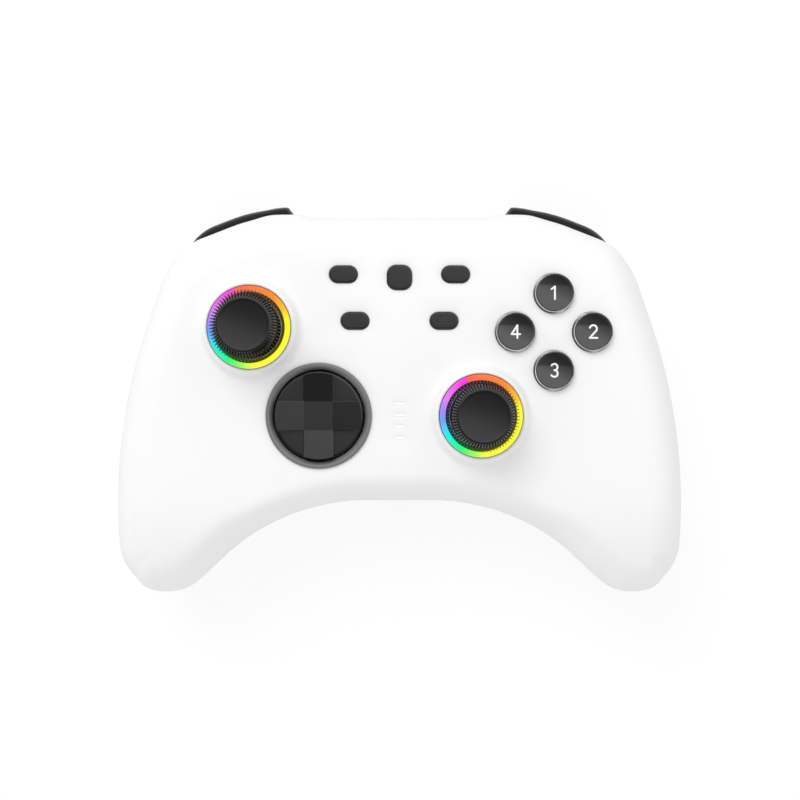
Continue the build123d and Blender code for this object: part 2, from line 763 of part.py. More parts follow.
    with BuildPart() as light_ring:
        with BuildSketch(upright(x, y)):
            with BuildLine():
                Polyline((ring_inner_r, ring_low_z), (ring_outer_r, ring_low_z), (ring_outer_r, ring_top_z),
                         (ring_inner_r + ring_chamfer, ring_top_z), (ring_inner_r, ring_top_z - ring_chamfer),
                         close=True)
            make_face()
        revolve(axis=Axis((x, y, 0), (0, 0, 1)))
    light_ring.part.label = f"{name}_light_ring"
    export_step(light_ring.part, f"parts/{name}_light_ring.step")

# Direction pad: tilting disc with its raised cross, bezel, rocker, post and contact sheet
with BuildPart() as dpad_cap:
    with BuildSketch(Plane.XY.offset(disc_low_z)):
        with Locations((dpad_x, dpad_y)):
            Circle(disc_r)
    extrude(amount=disc_thick)
    with BuildSketch(Plane.XY.offset(disc_low_z + disc_thick)):
        with Locations((dpad_x, dpad_y)):
            Rectangle(2 * disc_r, cross_arm_width)
            Rectangle(cross_arm_width, 2 * disc_r)
            Circle(cross_reach, mode=Mode.INTERSECT)
    extrude(amount=cross_top_z - disc_low_z - disc_thick)
    # Each pair of arms slopes down to the middle of the cross
    for view in (Plane.XZ.offset(-dpad_y), Plane.YZ.offset(dpad_x)):
        middle = dpad_x if view.z_dir.Y else dpad_y
        with BuildSketch(view):
            with BuildLine():
                Polyline((middle, cross_top_z - cross_dish_depth), (middle + cross_dish_r, cross_top_z),
                         (middle, cross_top_z + overrun), (middle - cross_dish_r, cross_top_z), close=True)
            make_face()
        extrude(amount=cross_arm_width / 2, both=True, mode=Mode.SUBTRACT)
    with Locations((dpad_x, dpad_y, dpad_hub_low_z)):
        Cylinder(dpad_hub_r, disc_low_z - dpad_hub_low_z, align=low_centre)
    with Locations((dpad_x, dpad_y, stem_low_z)):
        with PolarLocations(dpad_foot_circle, 4):
            Box(dpad_foot_size, dpad_foot_size, disc_low_z - stem_low_z, align=low_centre)
dpad_cap.part.label = "dpad_cap"
export_step(dpad_cap.part, "parts/dpad_cap.step")

with BuildPart() as dpad_bezel:
    with BuildSketch(upright(dpad_x, dpad_y, face_z)):
        with BuildLine():
            Polyline((bezel_inner_r, bezel_rise), (bezel_outer_r, bezel_rise), (bezel_outer_r, 0),
                     (bezel_sleeve_r, 0), (bezel_sleeve_r, -bezel_drop), (bezel_inner_r, -bezel_drop), close=True)
        make_face()
    revolve(axis=Axis((dpad_x, dpad_y, 0), (0, 0, 1)))
dpad_bezel.part.label = "dpad_bezel"
export_step(dpad_bezel.part, "parts/dpad_bezel.step")

with BuildPart() as dpad_rocker:
    with Locations((dpad_x, dpad_y, dpad_pivot_z)):
        Box(rocker_size, rocker_size, rocker_thick)
dpad_rocker.part.label = "dpad_rocker"
export_step(dpad_rocker.part, "parts/dpad_rocker.step")

with BuildPart() as dpad_post:
    with Locations((dpad_x, dpad_y, board_top_z)):
        Cylinder(pivot_foot_r, pivot_foot, align=low_centre)
        Cylinder(pivot_post_r, dpad_pivot_z - rocker_thick / 2 - rocker_gap - board_top_z, align=low_centre)
dpad_post.part.label = "dpad_post"
export_step(dpad_post.part, "parts/dpad_post.step")

with BuildPart() as dpad_sheet:
    with Locations((dpad_x, dpad_y, board_top_z)):
        Cylinder(dpad_sheet_r, sheet_thick, align=low_centre)
        Cylinder(pivot_foot_r + slide_gap, sheet_thick, align=low_centre, mode=Mode.SUBTRACT)
    with Locations((dpad_x, dpad_y, sheet_top_z)):
        with PolarLocations(dpad_foot_circle, 4):
            Box(contact_size, contact_size, contact_rise, align=low_centre)
dpad_sheet.part.label = "dpad_contact_sheet"
export_step(dpad_sheet.part, "parts/dpad_contact_sheet.step")

# Four face buttons in a diamond, each a metal-rimmed body with a domed lens
face_places = {
    "top": (face_centre_x, face_centre_y + face_pitch),
    "right": (face_centre_x + face_pitch, face_centre_y),
    "bottom": (face_centre_x, face_centre_y - face_pitch),
    "left": (face_centre_x - face_pitch, face_centre_y),
}
flange_top_z = roof_z - rest_gap
for name, (x, y) in face_places.items():
    with BuildPart() as face_button:
        with Locations((x, y, stem_low_z)):
            Box(face_stem_size, face_stem_size, flange_top_z - stem_low_z, align=low_centre)
        with Locations((x, y, flange_top_z)):
            Cylinder(face_flange_r, face_flange, align=(Align.CENTER, Align.CENTER, Align.MAX))
            Cylinder(face_button_r, face_button_top_z - flange_top_z, align=low_centre)
        with Locations((x, y, face_button_top_z)):
            Cylinder(lens_r + post_gap, lens_depth, align=(Align.CENTER, Align.CENTER, Align.MAX),
                     mode=Mode.SUBTRACT)
    face_button.part.label = f"face_button_{name}"
    export_step(face_button.part, f"parts/face_button_{name}.step")

    with BuildPart() as face_lens:
        with Locations((x, y, face_button_top_z - lens_depth)):
            Cylinder(lens_r, lens_depth + lens_rise, align=low_centre)
        chamfer(face_lens.edges().group_by(Axis.Z)[-1], lens_edge)
    face_lens.part.label = f"face_lens_{name}"
    export_step(face_lens.part, f"parts/face_lens_{name}.step")

with BuildPart() as face_sheet:
    with Locations((face_centre_x, face_centre_y, board_top_z)):
        Box(face_sheet_size, face_sheet_size, sheet_thick, rotation=(0, 0, 45), align=low_centre)
    with Locations((face_centre_x, face_centre_y, sheet_top_z)):
        with PolarLocations(face_pitch, 4):
            Box(contact_size, contact_size, contact_rise, align=low_centre)
face_sheet.part.label = "face_contact_sheet"
export_step(face_sheet.part, "parts/face_contact_sheet.step")

# Four oval function buttons and the rounded home button
for name, (x, y) in [*option_places.items(), ("home_button", home_place)]:
    with BuildPart() as function_button:
        for level, height, lip in [
            (flange_top_z, function_top_z - flange_top_z, 0),
            (flange_top_z - function_flange, function_flange, function_lip),
        ]:
            with BuildSketch(Plane.XY.offset(level)):
                with Locations((x, y)):
                    if name == "home_button":
                        RectangleRounded(home_size + 2 * lip, home_size + 2 * lip, home_corner_r + lip)
                    else:
                        SlotOverall(option_width + 2 * lip, option_height + 2 * lip)
            extrude(amount=height)
        chamfer(function_button.edges().group_by(Axis.Z)[-1], function_edge)
        with Locations((x, y, stem_low_z)):
            Box(function_stem, function_stem, flange_top_z - function_flange - stem_low_z, align=low_centre)
    function_button.part.label = name
    export_step(function_button.part, f"parts/{name}.step")

with BuildPart() as function_sheet:
    with BuildSketch(Plane.XY.offset(board_top_z)):
        with Locations((0, function_sheet_low_y)):
            Rectangle(2 * function_sheet_half_width, function_sheet_high_y - function_sheet_low_y,
                      align=(Align.CENTER, Align.MIN))
    extrude(amount=sheet_thick)
    with Locations(*[(x, y, sheet_top_z) for x, y in [*option_places.values(), home_place]]):
        Box(function_contact_size, function_contact_size, contact_rise, align=low_centre)
function_sheet.part.label = "function_contact_sheet"
export_step(function_sheet.part, "parts/function_contact_sheet.step")

# Bumpers, their switches, triggers, pins, springs, motors and weights, on both sides
for name, side in sides.items():
    with BuildPart() as bumper:
        with BuildSketch(Plane.XY.offset(bumper_low_z)) as bumper_plan:
            add(bumper_zone(bumper_depth, bumper_stand_out, bumper_inner_x, bumper_outer_x, (side,)))
            inner_end = bumper_plan.vertices().group_by(Axis.X)[::side][0]
            chamfer(inner_end.sort_by(Axis.Y)[-1], bumper_nose_cut)
            outer_end = bumper_plan.vertices().group_by(Axis.X)[::side][-1]
            fillet(outer_end.sort_by(Axis.Y)[-1], bumper_tail_r)
        extrude(amount=bumper_top_z - bumper_low_z)
        with Locations((bumper_pivot_x * side, bumper_pivot_y, bumper_middle_z)):
            Cylinder(bumper_pin_r,
                     bumper_top_z - bumper_low_z + 2 * (bumper_gap + bumper_pin_length - slide_gap))
    bumper.part.label = f"{name}_bumper"
    export_step(bumper.part, f"parts/{name}_bumper.step")

    with BuildPart() as switch:
        with Locations((switch_x * side, switch_front_y, board_top_z)):
            Box(switch_width, switch_depth, switch_height, align=(Align.CENTER, Align.MAX, Align.MIN))
        with Locations((switch_x * side, switch_front_y, board_top_z + switch_height / 2)):
            Box(switch_tip_size, switch_tip_reach, switch_tip_size, align=(Align.CENTER, Align.MIN, Align.CENTER))
    switch.part.label = f"{name}_bumper_switch"
    export_step(switch.part, f"parts/{name}_bumper_switch.step")

    with BuildPart() as trigger:
        with BuildSketch(trigger_side_plane(side)):
            with BuildLine():
                crown = Line((0, trigger_hub_r), (trigger_reach - trigger_nose_r, trigger_crown))
                nose = RadiusArc(crown @ 1, (trigger_reach, trigger_crown - trigger_nose_r), trigger_nose_r)
                finger = ThreePointArc(nose @ 1, (trigger_waist_reach, -trigger_waist_drop),
                                       (trigger_lip_reach, -trigger_lip_drop))
                lip = Line(finger @ 1, (trigger_lip_reach - trigger_lip_thick, -trigger_lip_drop))
                back = ThreePointArc(lip @ 1, (trigger_heel_reach, -trigger_waist_drop), (0, -trigger_hub_r))
                ThreePointArc(back @ 1, (-trigger_hub_r, 0), crown @ 0)
            make_face()
        extrude(amount=trigger_half_width, both=True)
        with BuildSketch(trigger_side_plane(side)):
            with BuildLine():
                hollow_top = trigger_crown - trigger_skin
                hollow_end = trigger_reach - trigger_nose_r - trigger_skin / 2
                roof = Line((trigger_hub_r, hollow_top), (hollow_end, hollow_top))
                inside = ThreePointArc(roof @ 1, (trigger_waist_reach - trigger_skin, -trigger_waist_drop),
                                       (trigger_lip_reach - trigger_lip_thick, -trigger_lip_drop))
                Polyline(inside @ 1, (0, -trigger_lip_drop), (trigger_hub_r, -trigger_hub_r), roof @ 0)
            make_face()
        extrude(amount=trigger_half_width - trigger_cheek, both=True, mode=Mode.SUBTRACT)
        with BuildSketch(trigger_side_plane(side)):
            Rectangle(2 * (trigger_hub_r + rest_gap), 4 * trigger_hub_r)
        extrude(amount=hub_gap_half, both=True, mode=Mode.SUBTRACT)
        with BuildSketch(trigger_side_plane(side)):
            Circle(trigger_pin_r + run_gap)
        extrude(amount=trigger_half_width + overrun, both=True, mode=Mode.SUBTRACT)
    trigger.part.label = f"{name}_trigger"
    export_step(trigger.part, f"parts/{name}_trigger.step")

    with BuildPart() as trigger_pin:
        with BuildSketch(trigger_side_plane(side)):
            Circle(trigger_pin_r)
        extrude(amount=trigger_pin_end, both=True)
    trigger_pin.part.label = f"{name}_trigger_pin"
    export_step(trigger_pin.part, f"parts/{name}_trigger_pin.step")

    with BuildPart() as trigger_spring:
        with BuildSketch(trigger_side_plane(side)):
            Circle(spring_r)
            Circle(trigger_pin_r + fit_gap, mode=Mode.SUBTRACT)
        extrude(amount=spring_half_length, both=True)
    trigger_spring.part.label = f"{name}_trigger_spring"
    export_step(trigger_spring.part, f"parts/{name}_trigger_spring.step")

    motor_end_y = motor_front_y - motor_length
    with BuildPart() as motor:
        with BuildSketch(Plane.XZ.offset(-motor_front_y)):
            with Locations((motor_x * side, motor_z)):
                Circle(motor_r)
        extrude(amount=motor_length)
        with BuildSketch(Plane.XZ.offset(-motor_end_y)):
            with Locations((motor_x * side, motor_z)):
                Circle(motor_nose_r)
        extrude(amount=motor_nose)
        with BuildSketch(Plane.XZ.offset(motor_nose - motor_end_y)):
            with Locations((motor_x * side, motor_z)):
                Circle(motor_shaft_r + run_gap)
        extrude(amount=-motor_shaft_bore, mode=Mode.SUBTRACT)
    motor.part.label = f"{name}_rumble_motor"
    export_step(motor.part, f"parts/{name}_rumble_motor.step")

    with BuildPart() as weight:
        with BuildSketch(Plane.XZ.offset(motor_nose + weight_gap - motor_end_y)):
            with Locations((motor_x * side, motor_z)):
                Circle(weight_r)
                Rectangle(2 * weight_r, weight_r, align=(Align.CENTER, Align.MIN), mode=Mode.SUBTRACT)
                Circle(weight_hub_r)
        extrude(amount=weight_thick[name])
        with BuildSketch(Plane.XZ.offset(motor_nose + weight_gap - motor_end_y)):
            with Locations((motor_x * side, motor_z)):
                Circle(motor_shaft_r)
        extrude(amount=-weight_gap - motor_shaft_bore + rest_gap)
    weight.part.label = f"{name}_rumble_weight"
    export_step(weight.part, f"parts/{name}_rumble_weight.step")
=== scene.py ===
"""Looks of a white gamepad controller with two lit thumbsticks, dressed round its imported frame."""

import json
import logging
import math
from collections.abc import Callable, Sequence
from dataclasses import dataclass, field
from enum import Enum

import bmesh
import bpy
import numpy as np
from mathutils import Matrix, Vector
from mathutils.geometry import delaunay_2d_cdt


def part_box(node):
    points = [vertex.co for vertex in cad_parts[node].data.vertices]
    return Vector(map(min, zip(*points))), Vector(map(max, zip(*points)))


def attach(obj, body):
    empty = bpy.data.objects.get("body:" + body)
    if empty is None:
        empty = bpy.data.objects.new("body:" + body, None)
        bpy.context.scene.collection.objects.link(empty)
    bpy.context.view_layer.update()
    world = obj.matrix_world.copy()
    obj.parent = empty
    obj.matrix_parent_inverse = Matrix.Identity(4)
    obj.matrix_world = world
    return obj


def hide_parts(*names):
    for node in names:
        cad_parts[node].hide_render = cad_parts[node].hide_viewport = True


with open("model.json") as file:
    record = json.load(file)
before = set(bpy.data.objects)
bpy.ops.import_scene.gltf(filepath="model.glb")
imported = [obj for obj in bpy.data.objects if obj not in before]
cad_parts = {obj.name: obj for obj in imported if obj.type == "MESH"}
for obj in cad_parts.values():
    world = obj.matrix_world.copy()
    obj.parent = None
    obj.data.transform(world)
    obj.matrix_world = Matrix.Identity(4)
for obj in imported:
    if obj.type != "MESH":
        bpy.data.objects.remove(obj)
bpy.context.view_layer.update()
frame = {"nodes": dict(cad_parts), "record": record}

log = logging.getLogger("gamepad")

MM = 0.001
FULL_TURN = 2 * math.pi
QUARTER_TURN = math.pi / 2
# Below these distances points count as one, in metres for meshes and in millimetres for outlines
WELD_M = 1e-7
CAD_WELD_M = 1e-6
SAME_MM = 1e-7
Point2 = tuple[float, float]
Point3 = tuple[float, float, float]
Profile = tuple[Point2, ...]
Socket = bpy.types.NodeSocket
Sources = dict[str | int, object]


class Side(Enum):
    """The two hands of the controller, each with the sign of its X."""

    LEFT = -1
    RIGHT = 1

    @property
    def word(self) -> str:
        """The side's word in node and body names."""
        return self.name.lower()


# Finishes

class Wiring:
    """Adds and links the nodes of one tree."""

    def __init__(self, tree: bpy.types.NodeTree) -> None:
        """Takes the tree."""
        self.tree = tree

    def feed(self, node: bpy.types.Node, sources: Sources) -> None:
        """Links outputs to a node's inputs, or sets the inputs' own values."""
        for socket, source in sources.items():
            if isinstance(source, Socket):
                self.tree.links.new(source, node.inputs[socket])
            else:
                node.inputs[socket].default_value = source

    def add(self, kind: str, sources: Sources | None = None, **settings: str) -> bpy.types.Node:
        """Adds a node.

        Args:
            kind: the node's type.
            sources: what feeds each input, an output or a value.
            settings: the node's own settings.

        Returns:
            The node.
        """
        node = self.tree.nodes.new(kind)
        for key, value in settings.items():
            setattr(node, key, value)
        self.feed(node, sources or {})
        return node

    def math(self, operation: str, *sources: object) -> Socket:
        """Adds a math node and returns its output."""
        return self.add("ShaderNodeMath", dict(enumerate(sources)), operation=operation).outputs[0]

    def moved(self, coordinates: Socket, change: str, by: Point3) -> Socket:
        """Moves, turns or stretches coordinates by a "Location", "Rotation" or "Scale"."""
        return self.add("ShaderNodeMapping", {"Vector": coordinates, change: by}).outputs["Vector"]

    def spread(self, value: Socket, given: Point2, made: Point2) -> Socket:
        """Maps a value from one range to another.

        Args:
            value: the output to map.
            given: the range that it comes in.
            made: the range that it is brought to.

        Returns:
            The mapped output.
        """
        ends = {"From Min": given[0], "From Max": given[1], "To Min": made[0], "To Max": made[1]}
        return self.add("ShaderNodeMapRange", {"Value": value, **ends}).outputs["Result"]

    def blend(self, share: Socket, first: object, second: object, colours: bool = False) -> Socket:
        """Mixes two values or two colours.

        Args:
            share: how much of the second there is.
            first: the first, an output or a value.
            second: the second.
            colours: whether they are colours.

        Returns:
            The mixed output.
        """
        return self.add("ShaderNodeMix", {"Factor": share, "A": first, "B": second},
                        data_type="RGBA" if colours else "FLOAT").outputs["Result"]


class Grain(Enum):
    """How a finish's surface detail runs."""

    FINE = "fine"
    BRUSHED = "brushed"
    CELLS = "cells"


@dataclass(frozen=True)
class Finish:
    """A moulded, painted or metal surface with its own grain. Sizes are in millimetres."""

    name: str
    colour: Point3
    roughness: float
    metallic: float = 0.0
    coat: float = 0.0
    specular: float = 0.5
    grain: Grain = Grain.FINE
    grain_size: float = 0.35
    grain_depth: float = 0.012
    mottle: float = 0.03
    mottle_size: float = 14.0
    sheen: float = 0.0
    coat_roughness: float = 0.04
    roughness_play: float = 0.15
    bump_strength: float = 0.8
    brush_stretch: Point3 = (0.08, 1, 1)
    noise_detail: float = 3.0

    def material(self) -> bpy.types.Material:
        """Builds the finish, or returns it if it is there.

        Returns:
            The material with its node tree.
        """
        made = bpy.data.materials.get(self.name)
        if made:
            return made
        made = bpy.data.materials.new(self.name)
        made.use_nodes = True
        made.diffuse_color = (*self.colour, 1)
        self.dress(Wiring(made.node_tree))
        return made

    def dress(self, wiring: Wiring) -> bpy.types.Node:
        """Links colour variation, roughness and bump to the shader.

        Args:
            wiring: the material's wiring.

        Returns:
            The shader node.
        """
        place = wiring.add("ShaderNodeTexCoord").outputs["Object"]
        grain = self.detail(wiring, place)
        cloud = self.noise(wiring, place, self.mottle_size)
        darker, lighter = [(*[min(1.0, c * (1 + change)) for c in self.colour], 1)
                           for change in (-self.mottle, self.mottle)]
        polish = (self.roughness * (1 - self.roughness_play),
                  min(1.0, self.roughness * (1 + self.roughness_play)))
        bump = wiring.add("ShaderNodeBump", {
            "Distance": self.grain_depth * MM, "Strength": self.bump_strength, "Height": grain})
        shader = wiring.tree.nodes["Principled BSDF"]
        wiring.feed(shader, {
            "Metallic": self.metallic, "Coat Weight": self.coat, "Coat Roughness": self.coat_roughness,
            "Specular IOR Level": self.specular, "Sheen Weight": self.sheen,
            "Base Color": wiring.blend(cloud, darker, lighter, colours=True),
            "Roughness": wiring.spread(grain, (0, 1), polish), "Normal": bump.outputs["Normal"]})
        return shader

    def noise(self, wiring: Wiring, place: Socket, size: float) -> Socket:
        """A cloud pattern of a size in millimetres."""
        return wiring.add("ShaderNodeTexNoise", {
            "Vector": place, "Scale": 1 / (size * MM), "Detail": self.noise_detail}).outputs["Fac"]

    def detail(self, wiring: Wiring, place: Socket) -> Socket:
        """The finish's own grain.

        Args:
            wiring: the material's wiring.
            place: the coordinates that it follows.

        Returns:
            The grain's height.
        """
        if self.grain is Grain.CELLS:
            cells = wiring.add("ShaderNodeTexVoronoi", {"Vector": place, "Scale": 1 / (self.grain_size * MM)})
            return cells.outputs["Distance"]
        if self.grain is Grain.BRUSHED:
            place = wiring.moved(place, "Scale", self.brush_stretch)
        return self.noise(wiring, place, self.grain_size)


@dataclass(frozen=True)
class RainbowGlow(Finish):
    """The lit ring: colours run clockwise round its centre, with a highlight painted into the glow that makes
    it paler along the rounded outer edge.
    """

    centre: Point2 = (0.0, 0.0)
    # Painted highlight along the rounded outer edge: the radii over which it grows, its greatest share and
    # its colour
    pale_rs: Point2 = (10.2, 10.5)
    pale_share: float = 0.35
    pale_colour: Point3 = (0.75, 0.75, 0.75)
    lit_zs: Point2 = (49.75, 50.1)
    dim_share: float = 0.055
    strength: float = 0.97
    # Turn clockwise from the jump, in degrees, then the colour there
    stops: tuple[tuple[float, Point3], ...] = (
        (0, (1.0, 0.12, 0.10)), (20, (1.0, 0.19, 0.055)), (60, (1.0, 0.26, 0.02)),
        (85, (1.0, 0.55, 0.015)), (100, (1.0, 0.95, 0.02)), (195, (1.0, 1.0, 0.05)),
        (212, (0.35, 1.0, 0.12)), (232, (0.02, 1.0, 0.2)), (252, (0.0, 0.95, 0.6)),
        (266, (0.02, 0.8, 1.0)), (285, (0.16, 0.35, 1.0)), (300, (0.38, 0.25, 1.0)),
        (318, (0.8, 0.22, 0.95)), (348, (1.0, 0.06, 0.8)), (359, (1.0, 0.04, 0.72)),
    )
    jump_at: float = -22.0

    def dress(self, wiring: Wiring) -> bpy.types.Node:
        """Adds the glow to the ring's moulded surface.

        Args:
            wiring: the material's wiring.

        Returns:
            The shader node.
        """
        shader = super().dress(wiring)
        place = wiring.add("ShaderNodeTexCoord").outputs["Object"]
        centred = wiring.moved(place, "Location", (-self.centre[0] * MM, -self.centre[1] * MM, 0))
        turned = wiring.moved(centred, "Rotation", (0, 0, math.radians(self.jump_at)))
        parts = wiring.add("ShaderNodeSeparateXYZ", {"Vector": turned}).outputs
        angle = wiring.math("ARCTAN2", *[wiring.math("MULTIPLY", parts[axis], -1) for axis in "XY"])
        ramp = wiring.add("ShaderNodeValToRGB", {"Fac": wiring.spread(angle, (-math.pi, math.pi), (0, 1))})
        elements = ramp.color_ramp.elements
        # A new ramp holds two stops, and the others are added
        for count, (degrees, colour) in enumerate(self.stops):
            stop = elements[count] if count < 2 else elements.new(degrees / 360)
            stop.position = degrees / 360
            stop.color = (*colour, 1)
        flat = wiring.add("ShaderNodeCombineXYZ", {axis: parts[axis] for axis in "XY"}).outputs["Vector"]
        reach = wiring.add("ShaderNodeVectorMath", {0: flat}, operation="LENGTH").outputs["Value"]
        # Painted highlight: the glow turns paler towards the ring's outer edge
        edge = wiring.spread(reach, tuple(r * MM for r in self.pale_rs), (0, self.pale_share))
        glow = wiring.blend(edge, ramp.outputs["Color"], (*self.pale_colour, 1), colours=True)
        lit = wiring.spread(parts["Z"], tuple(z * MM for z in self.lit_zs),
                            (self.strength * self.dim_share, self.strength))
        wiring.feed(shader, {"Emission Color": glow, "Emission Strength": lit})
        return shader


@dataclass(frozen=True)
class SlotGlow(Finish):
    """The white indicator bars, lit from inside."""

    strength: float = 0.05

    def dress(self, wiring: Wiring) -> bpy.types.Node:
        """Adds an even glow."""
        shader = super().dress(wiring)
        wiring.feed(shader, {"Emission Color": (1, 1, 1, 1), "Emission Strength": self.strength})
        return shader


SHELL_WHITE = Finish("shell_white_satin", (0.93, 0.93, 0.935), 0.36, coat=0.06, grain_size=0.28,
                     grain_depth=0.006, mottle=0.006)
GLOSS_BLACK = Finish("bumper_gloss_black", (0.005, 0.005, 0.0055), 0.16, specular=0.12, grain_size=2.5,
                     grain_depth=0.004, mottle=0.1)
TRIGGER_BLACK = Finish("trigger_satin_black", (0.02, 0.02, 0.022), 0.3, grain=Grain.CELLS, grain_size=0.5,
                       grain_depth=0.02, mottle=0.1)
CAP_RUBBER = Finish("stick_cap_rubber", (0.012, 0.0115, 0.012), 0.36, grain_size=0.16, grain_depth=0.008,
                    mottle=0.12)
DOME_BLACK = Finish("stick_dome_black", (0.016, 0.016, 0.016), 0.28, grain_size=0.6, grain_depth=0.006,
                    mottle=0.1)
DPAD_BLACK = Finish("dpad_gloss_black", (0.014, 0.0135, 0.014), 0.12, coat=0.25, grain_size=1.8,
                    grain_depth=0.003, mottle=0.08)
BEZEL_GREY = Finish("bezel_satin_grey", (0.19, 0.186, 0.188), 0.34, grain_size=0.3, grain_depth=0.01,
                    mottle=0.05)
CHROME = Finish("button_chrome", (0.82, 0.82, 0.83), 0.07, metallic=1.0, grain=Grain.BRUSHED, grain_size=0.4,
                grain_depth=0.002, mottle=0.04)
LENS_SMOKE = Finish("button_lens_smoke", (0.02, 0.0195, 0.02), 0.03, coat=1.0, grain_size=3.0,
                    grain_depth=0.002, mottle=0.05)
LEGEND_WHITE = Finish("button_legend_white", (0.95, 0.95, 0.95), 0.45, grain_size=0.2, grain_depth=0.004,
                      mottle=0.01)
BUTTON_GREY = Finish("function_button_grey", (0.02, 0.0195, 0.02), 0.38, grain_size=0.22, grain_depth=0.012,
                     mottle=0.08)
ICON_DARK = Finish("function_icon_dark", (0.035, 0.034, 0.035), 0.3, grain_size=0.2, grain_depth=0.006,
                   mottle=0.08)
SCREW_STEEL = Finish("screw_black_steel", (0.25, 0.25, 0.26), 0.3, metallic=1.0, grain=Grain.BRUSHED,
                     grain_size=0.12, grain_depth=0.006, mottle=0.1)
CONTACT_RUBBER = Finish("contact_silicone", (0.55, 0.56, 0.58), 0.5, grain_size=0.4, grain_depth=0.01,
                        sheen=0.1)
PORT_NICKEL = Finish("port_nickel", (0.62, 0.61, 0.6), 0.22, metallic=1.0, grain=Grain.BRUSHED,
                     grain_size=0.15, grain_depth=0.004)

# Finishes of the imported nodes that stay, by the record's slot
SLOT_FINISHES = {
    "shell_white": SHELL_WHITE,
    "bumper_black": GLOSS_BLACK,
    "trigger_black": TRIGGER_BLACK,
    "stick_rubber": CAP_RUBBER,
    "light_ring": DOME_BLACK,
    "dpad_black": DPAD_BLACK,
    "bezel_grey": BEZEL_GREY,
    "button_chrome": CHROME,
    "lens_smoke": LENS_SMOKE,
    "button_grey": BUTTON_GREY,
    "contact_rubber": CONTACT_RUBBER,
    "board_green": Finish("board_solder_mask", (0.02, 0.16, 0.06), 0.3, coat=0.3, grain=Grain.CELLS,
                          grain_size=1.6, grain_depth=0.015, mottle=0.2, mottle_size=5.0),
    "battery_wrap": Finish("battery_film", (0.05, 0.12, 0.3), 0.25, coat=0.3, grain_size=1.2,
                           grain_depth=0.02, mottle=0.08),
    "port_steel": PORT_NICKEL,
    "screw_steel": SCREW_STEEL,
    "gimbal_steel": Finish("gimbal_pressed_steel", (0.56, 0.56, 0.55), 0.3, metallic=1.0,
                           grain=Grain.BRUSHED, grain_size=0.2, grain_depth=0.006),
    "gimbal_plastic": Finish("gimbal_acetal", (0.07, 0.07, 0.075), 0.45, grain_size=0.3, grain_depth=0.01,
                             mottle=0.06),
    "motor_steel": Finish("motor_can_steel", (0.5, 0.5, 0.49), 0.26, metallic=1.0, grain=Grain.BRUSHED,
                          grain_size=0.3, grain_depth=0.006),
    "weight_brass": Finish("weight_sintered_brass", (0.55, 0.42, 0.2), 0.4, metallic=1.0,
                           grain=Grain.CELLS, grain_size=0.3, grain_depth=0.012),
    "light_pipe": SlotGlow("light_pipe_acrylic", (0.95, 0.95, 0.95), 0.2, grain_size=0.5,
                           grain_depth=0.004, mottle=0.01),
}


# Mesh drafting

Loop = list[int]
Height = Callable[[float, float], float]


def fade(value: float, start: float, end: float) -> float:
    """A smooth step from 0 at the start to 1 at the end."""
    share = min(1.0, max(0.0, (value - start) / (end - start)))
    return share * share * (3 - 2 * share)


def inside(points: np.ndarray, ring: np.ndarray) -> np.ndarray:
    """Tests points against a closed outline.

    Args:
        points: rows of X and Y.
        ring: the outline's corners in order.

    Returns:
        True for each point inside the outline.
    """
    found = np.zeros(len(points), bool)
    for (x0, y0), (x1, y1) in zip(ring, np.roll(ring, -1, axis=0)):
        if y0 != y1:
            reach = x0 + (points[:, 1] - y0) * (x1 - x0) / (y1 - y0)
            found ^= ((y0 > points[:, 1]) != (y1 > points[:, 1])) & (points[:, 0] < reach)
    return found


def edge_distance(points: np.ndarray, ring: np.ndarray) -> np.ndarray:
    """Shortest distance from each point to a closed outline's edges."""
    nearest = np.full(len(points), np.inf)
    for start, end in zip(ring, np.roll(ring, -1, axis=0)):
        run = end - start
        along = np.clip((points - start) @ run / max(run @ run, 1e-12), 0, 1)
        nearest = np.minimum(nearest, np.linalg.norm(points - start - along[:, None] * run, axis=1))
    return nearest


def clip(ring: np.ndarray, normal: Point2, limit: float) -> np.ndarray:
    """Cuts an outline by a straight line.

    Args:
        ring: the outline's corners in order.
        normal: the direction that is cut away.
        limit: the distance along it where the cut lies.

    Returns:
        The outline that is left.
    """
    reach = ring @ np.array(normal) - limit
    kept = []
    for here, there, a, b in zip(ring, np.roll(ring, -1, axis=0), reach, np.roll(reach, -1)):
        if a <= 0:
            kept.append(here)
        if (a < 0 < b) or (b < 0 < a):
            kept.append(here + (there - here) * a / (a - b))
    return np.array(kept)


def circle(steps: int) -> np.ndarray:
    """Points round a circle of radius 1."""
    turns = np.linspace(0, FULL_TURN, steps, endpoint=False)
    return np.column_stack([np.cos(turns), np.sin(turns)])


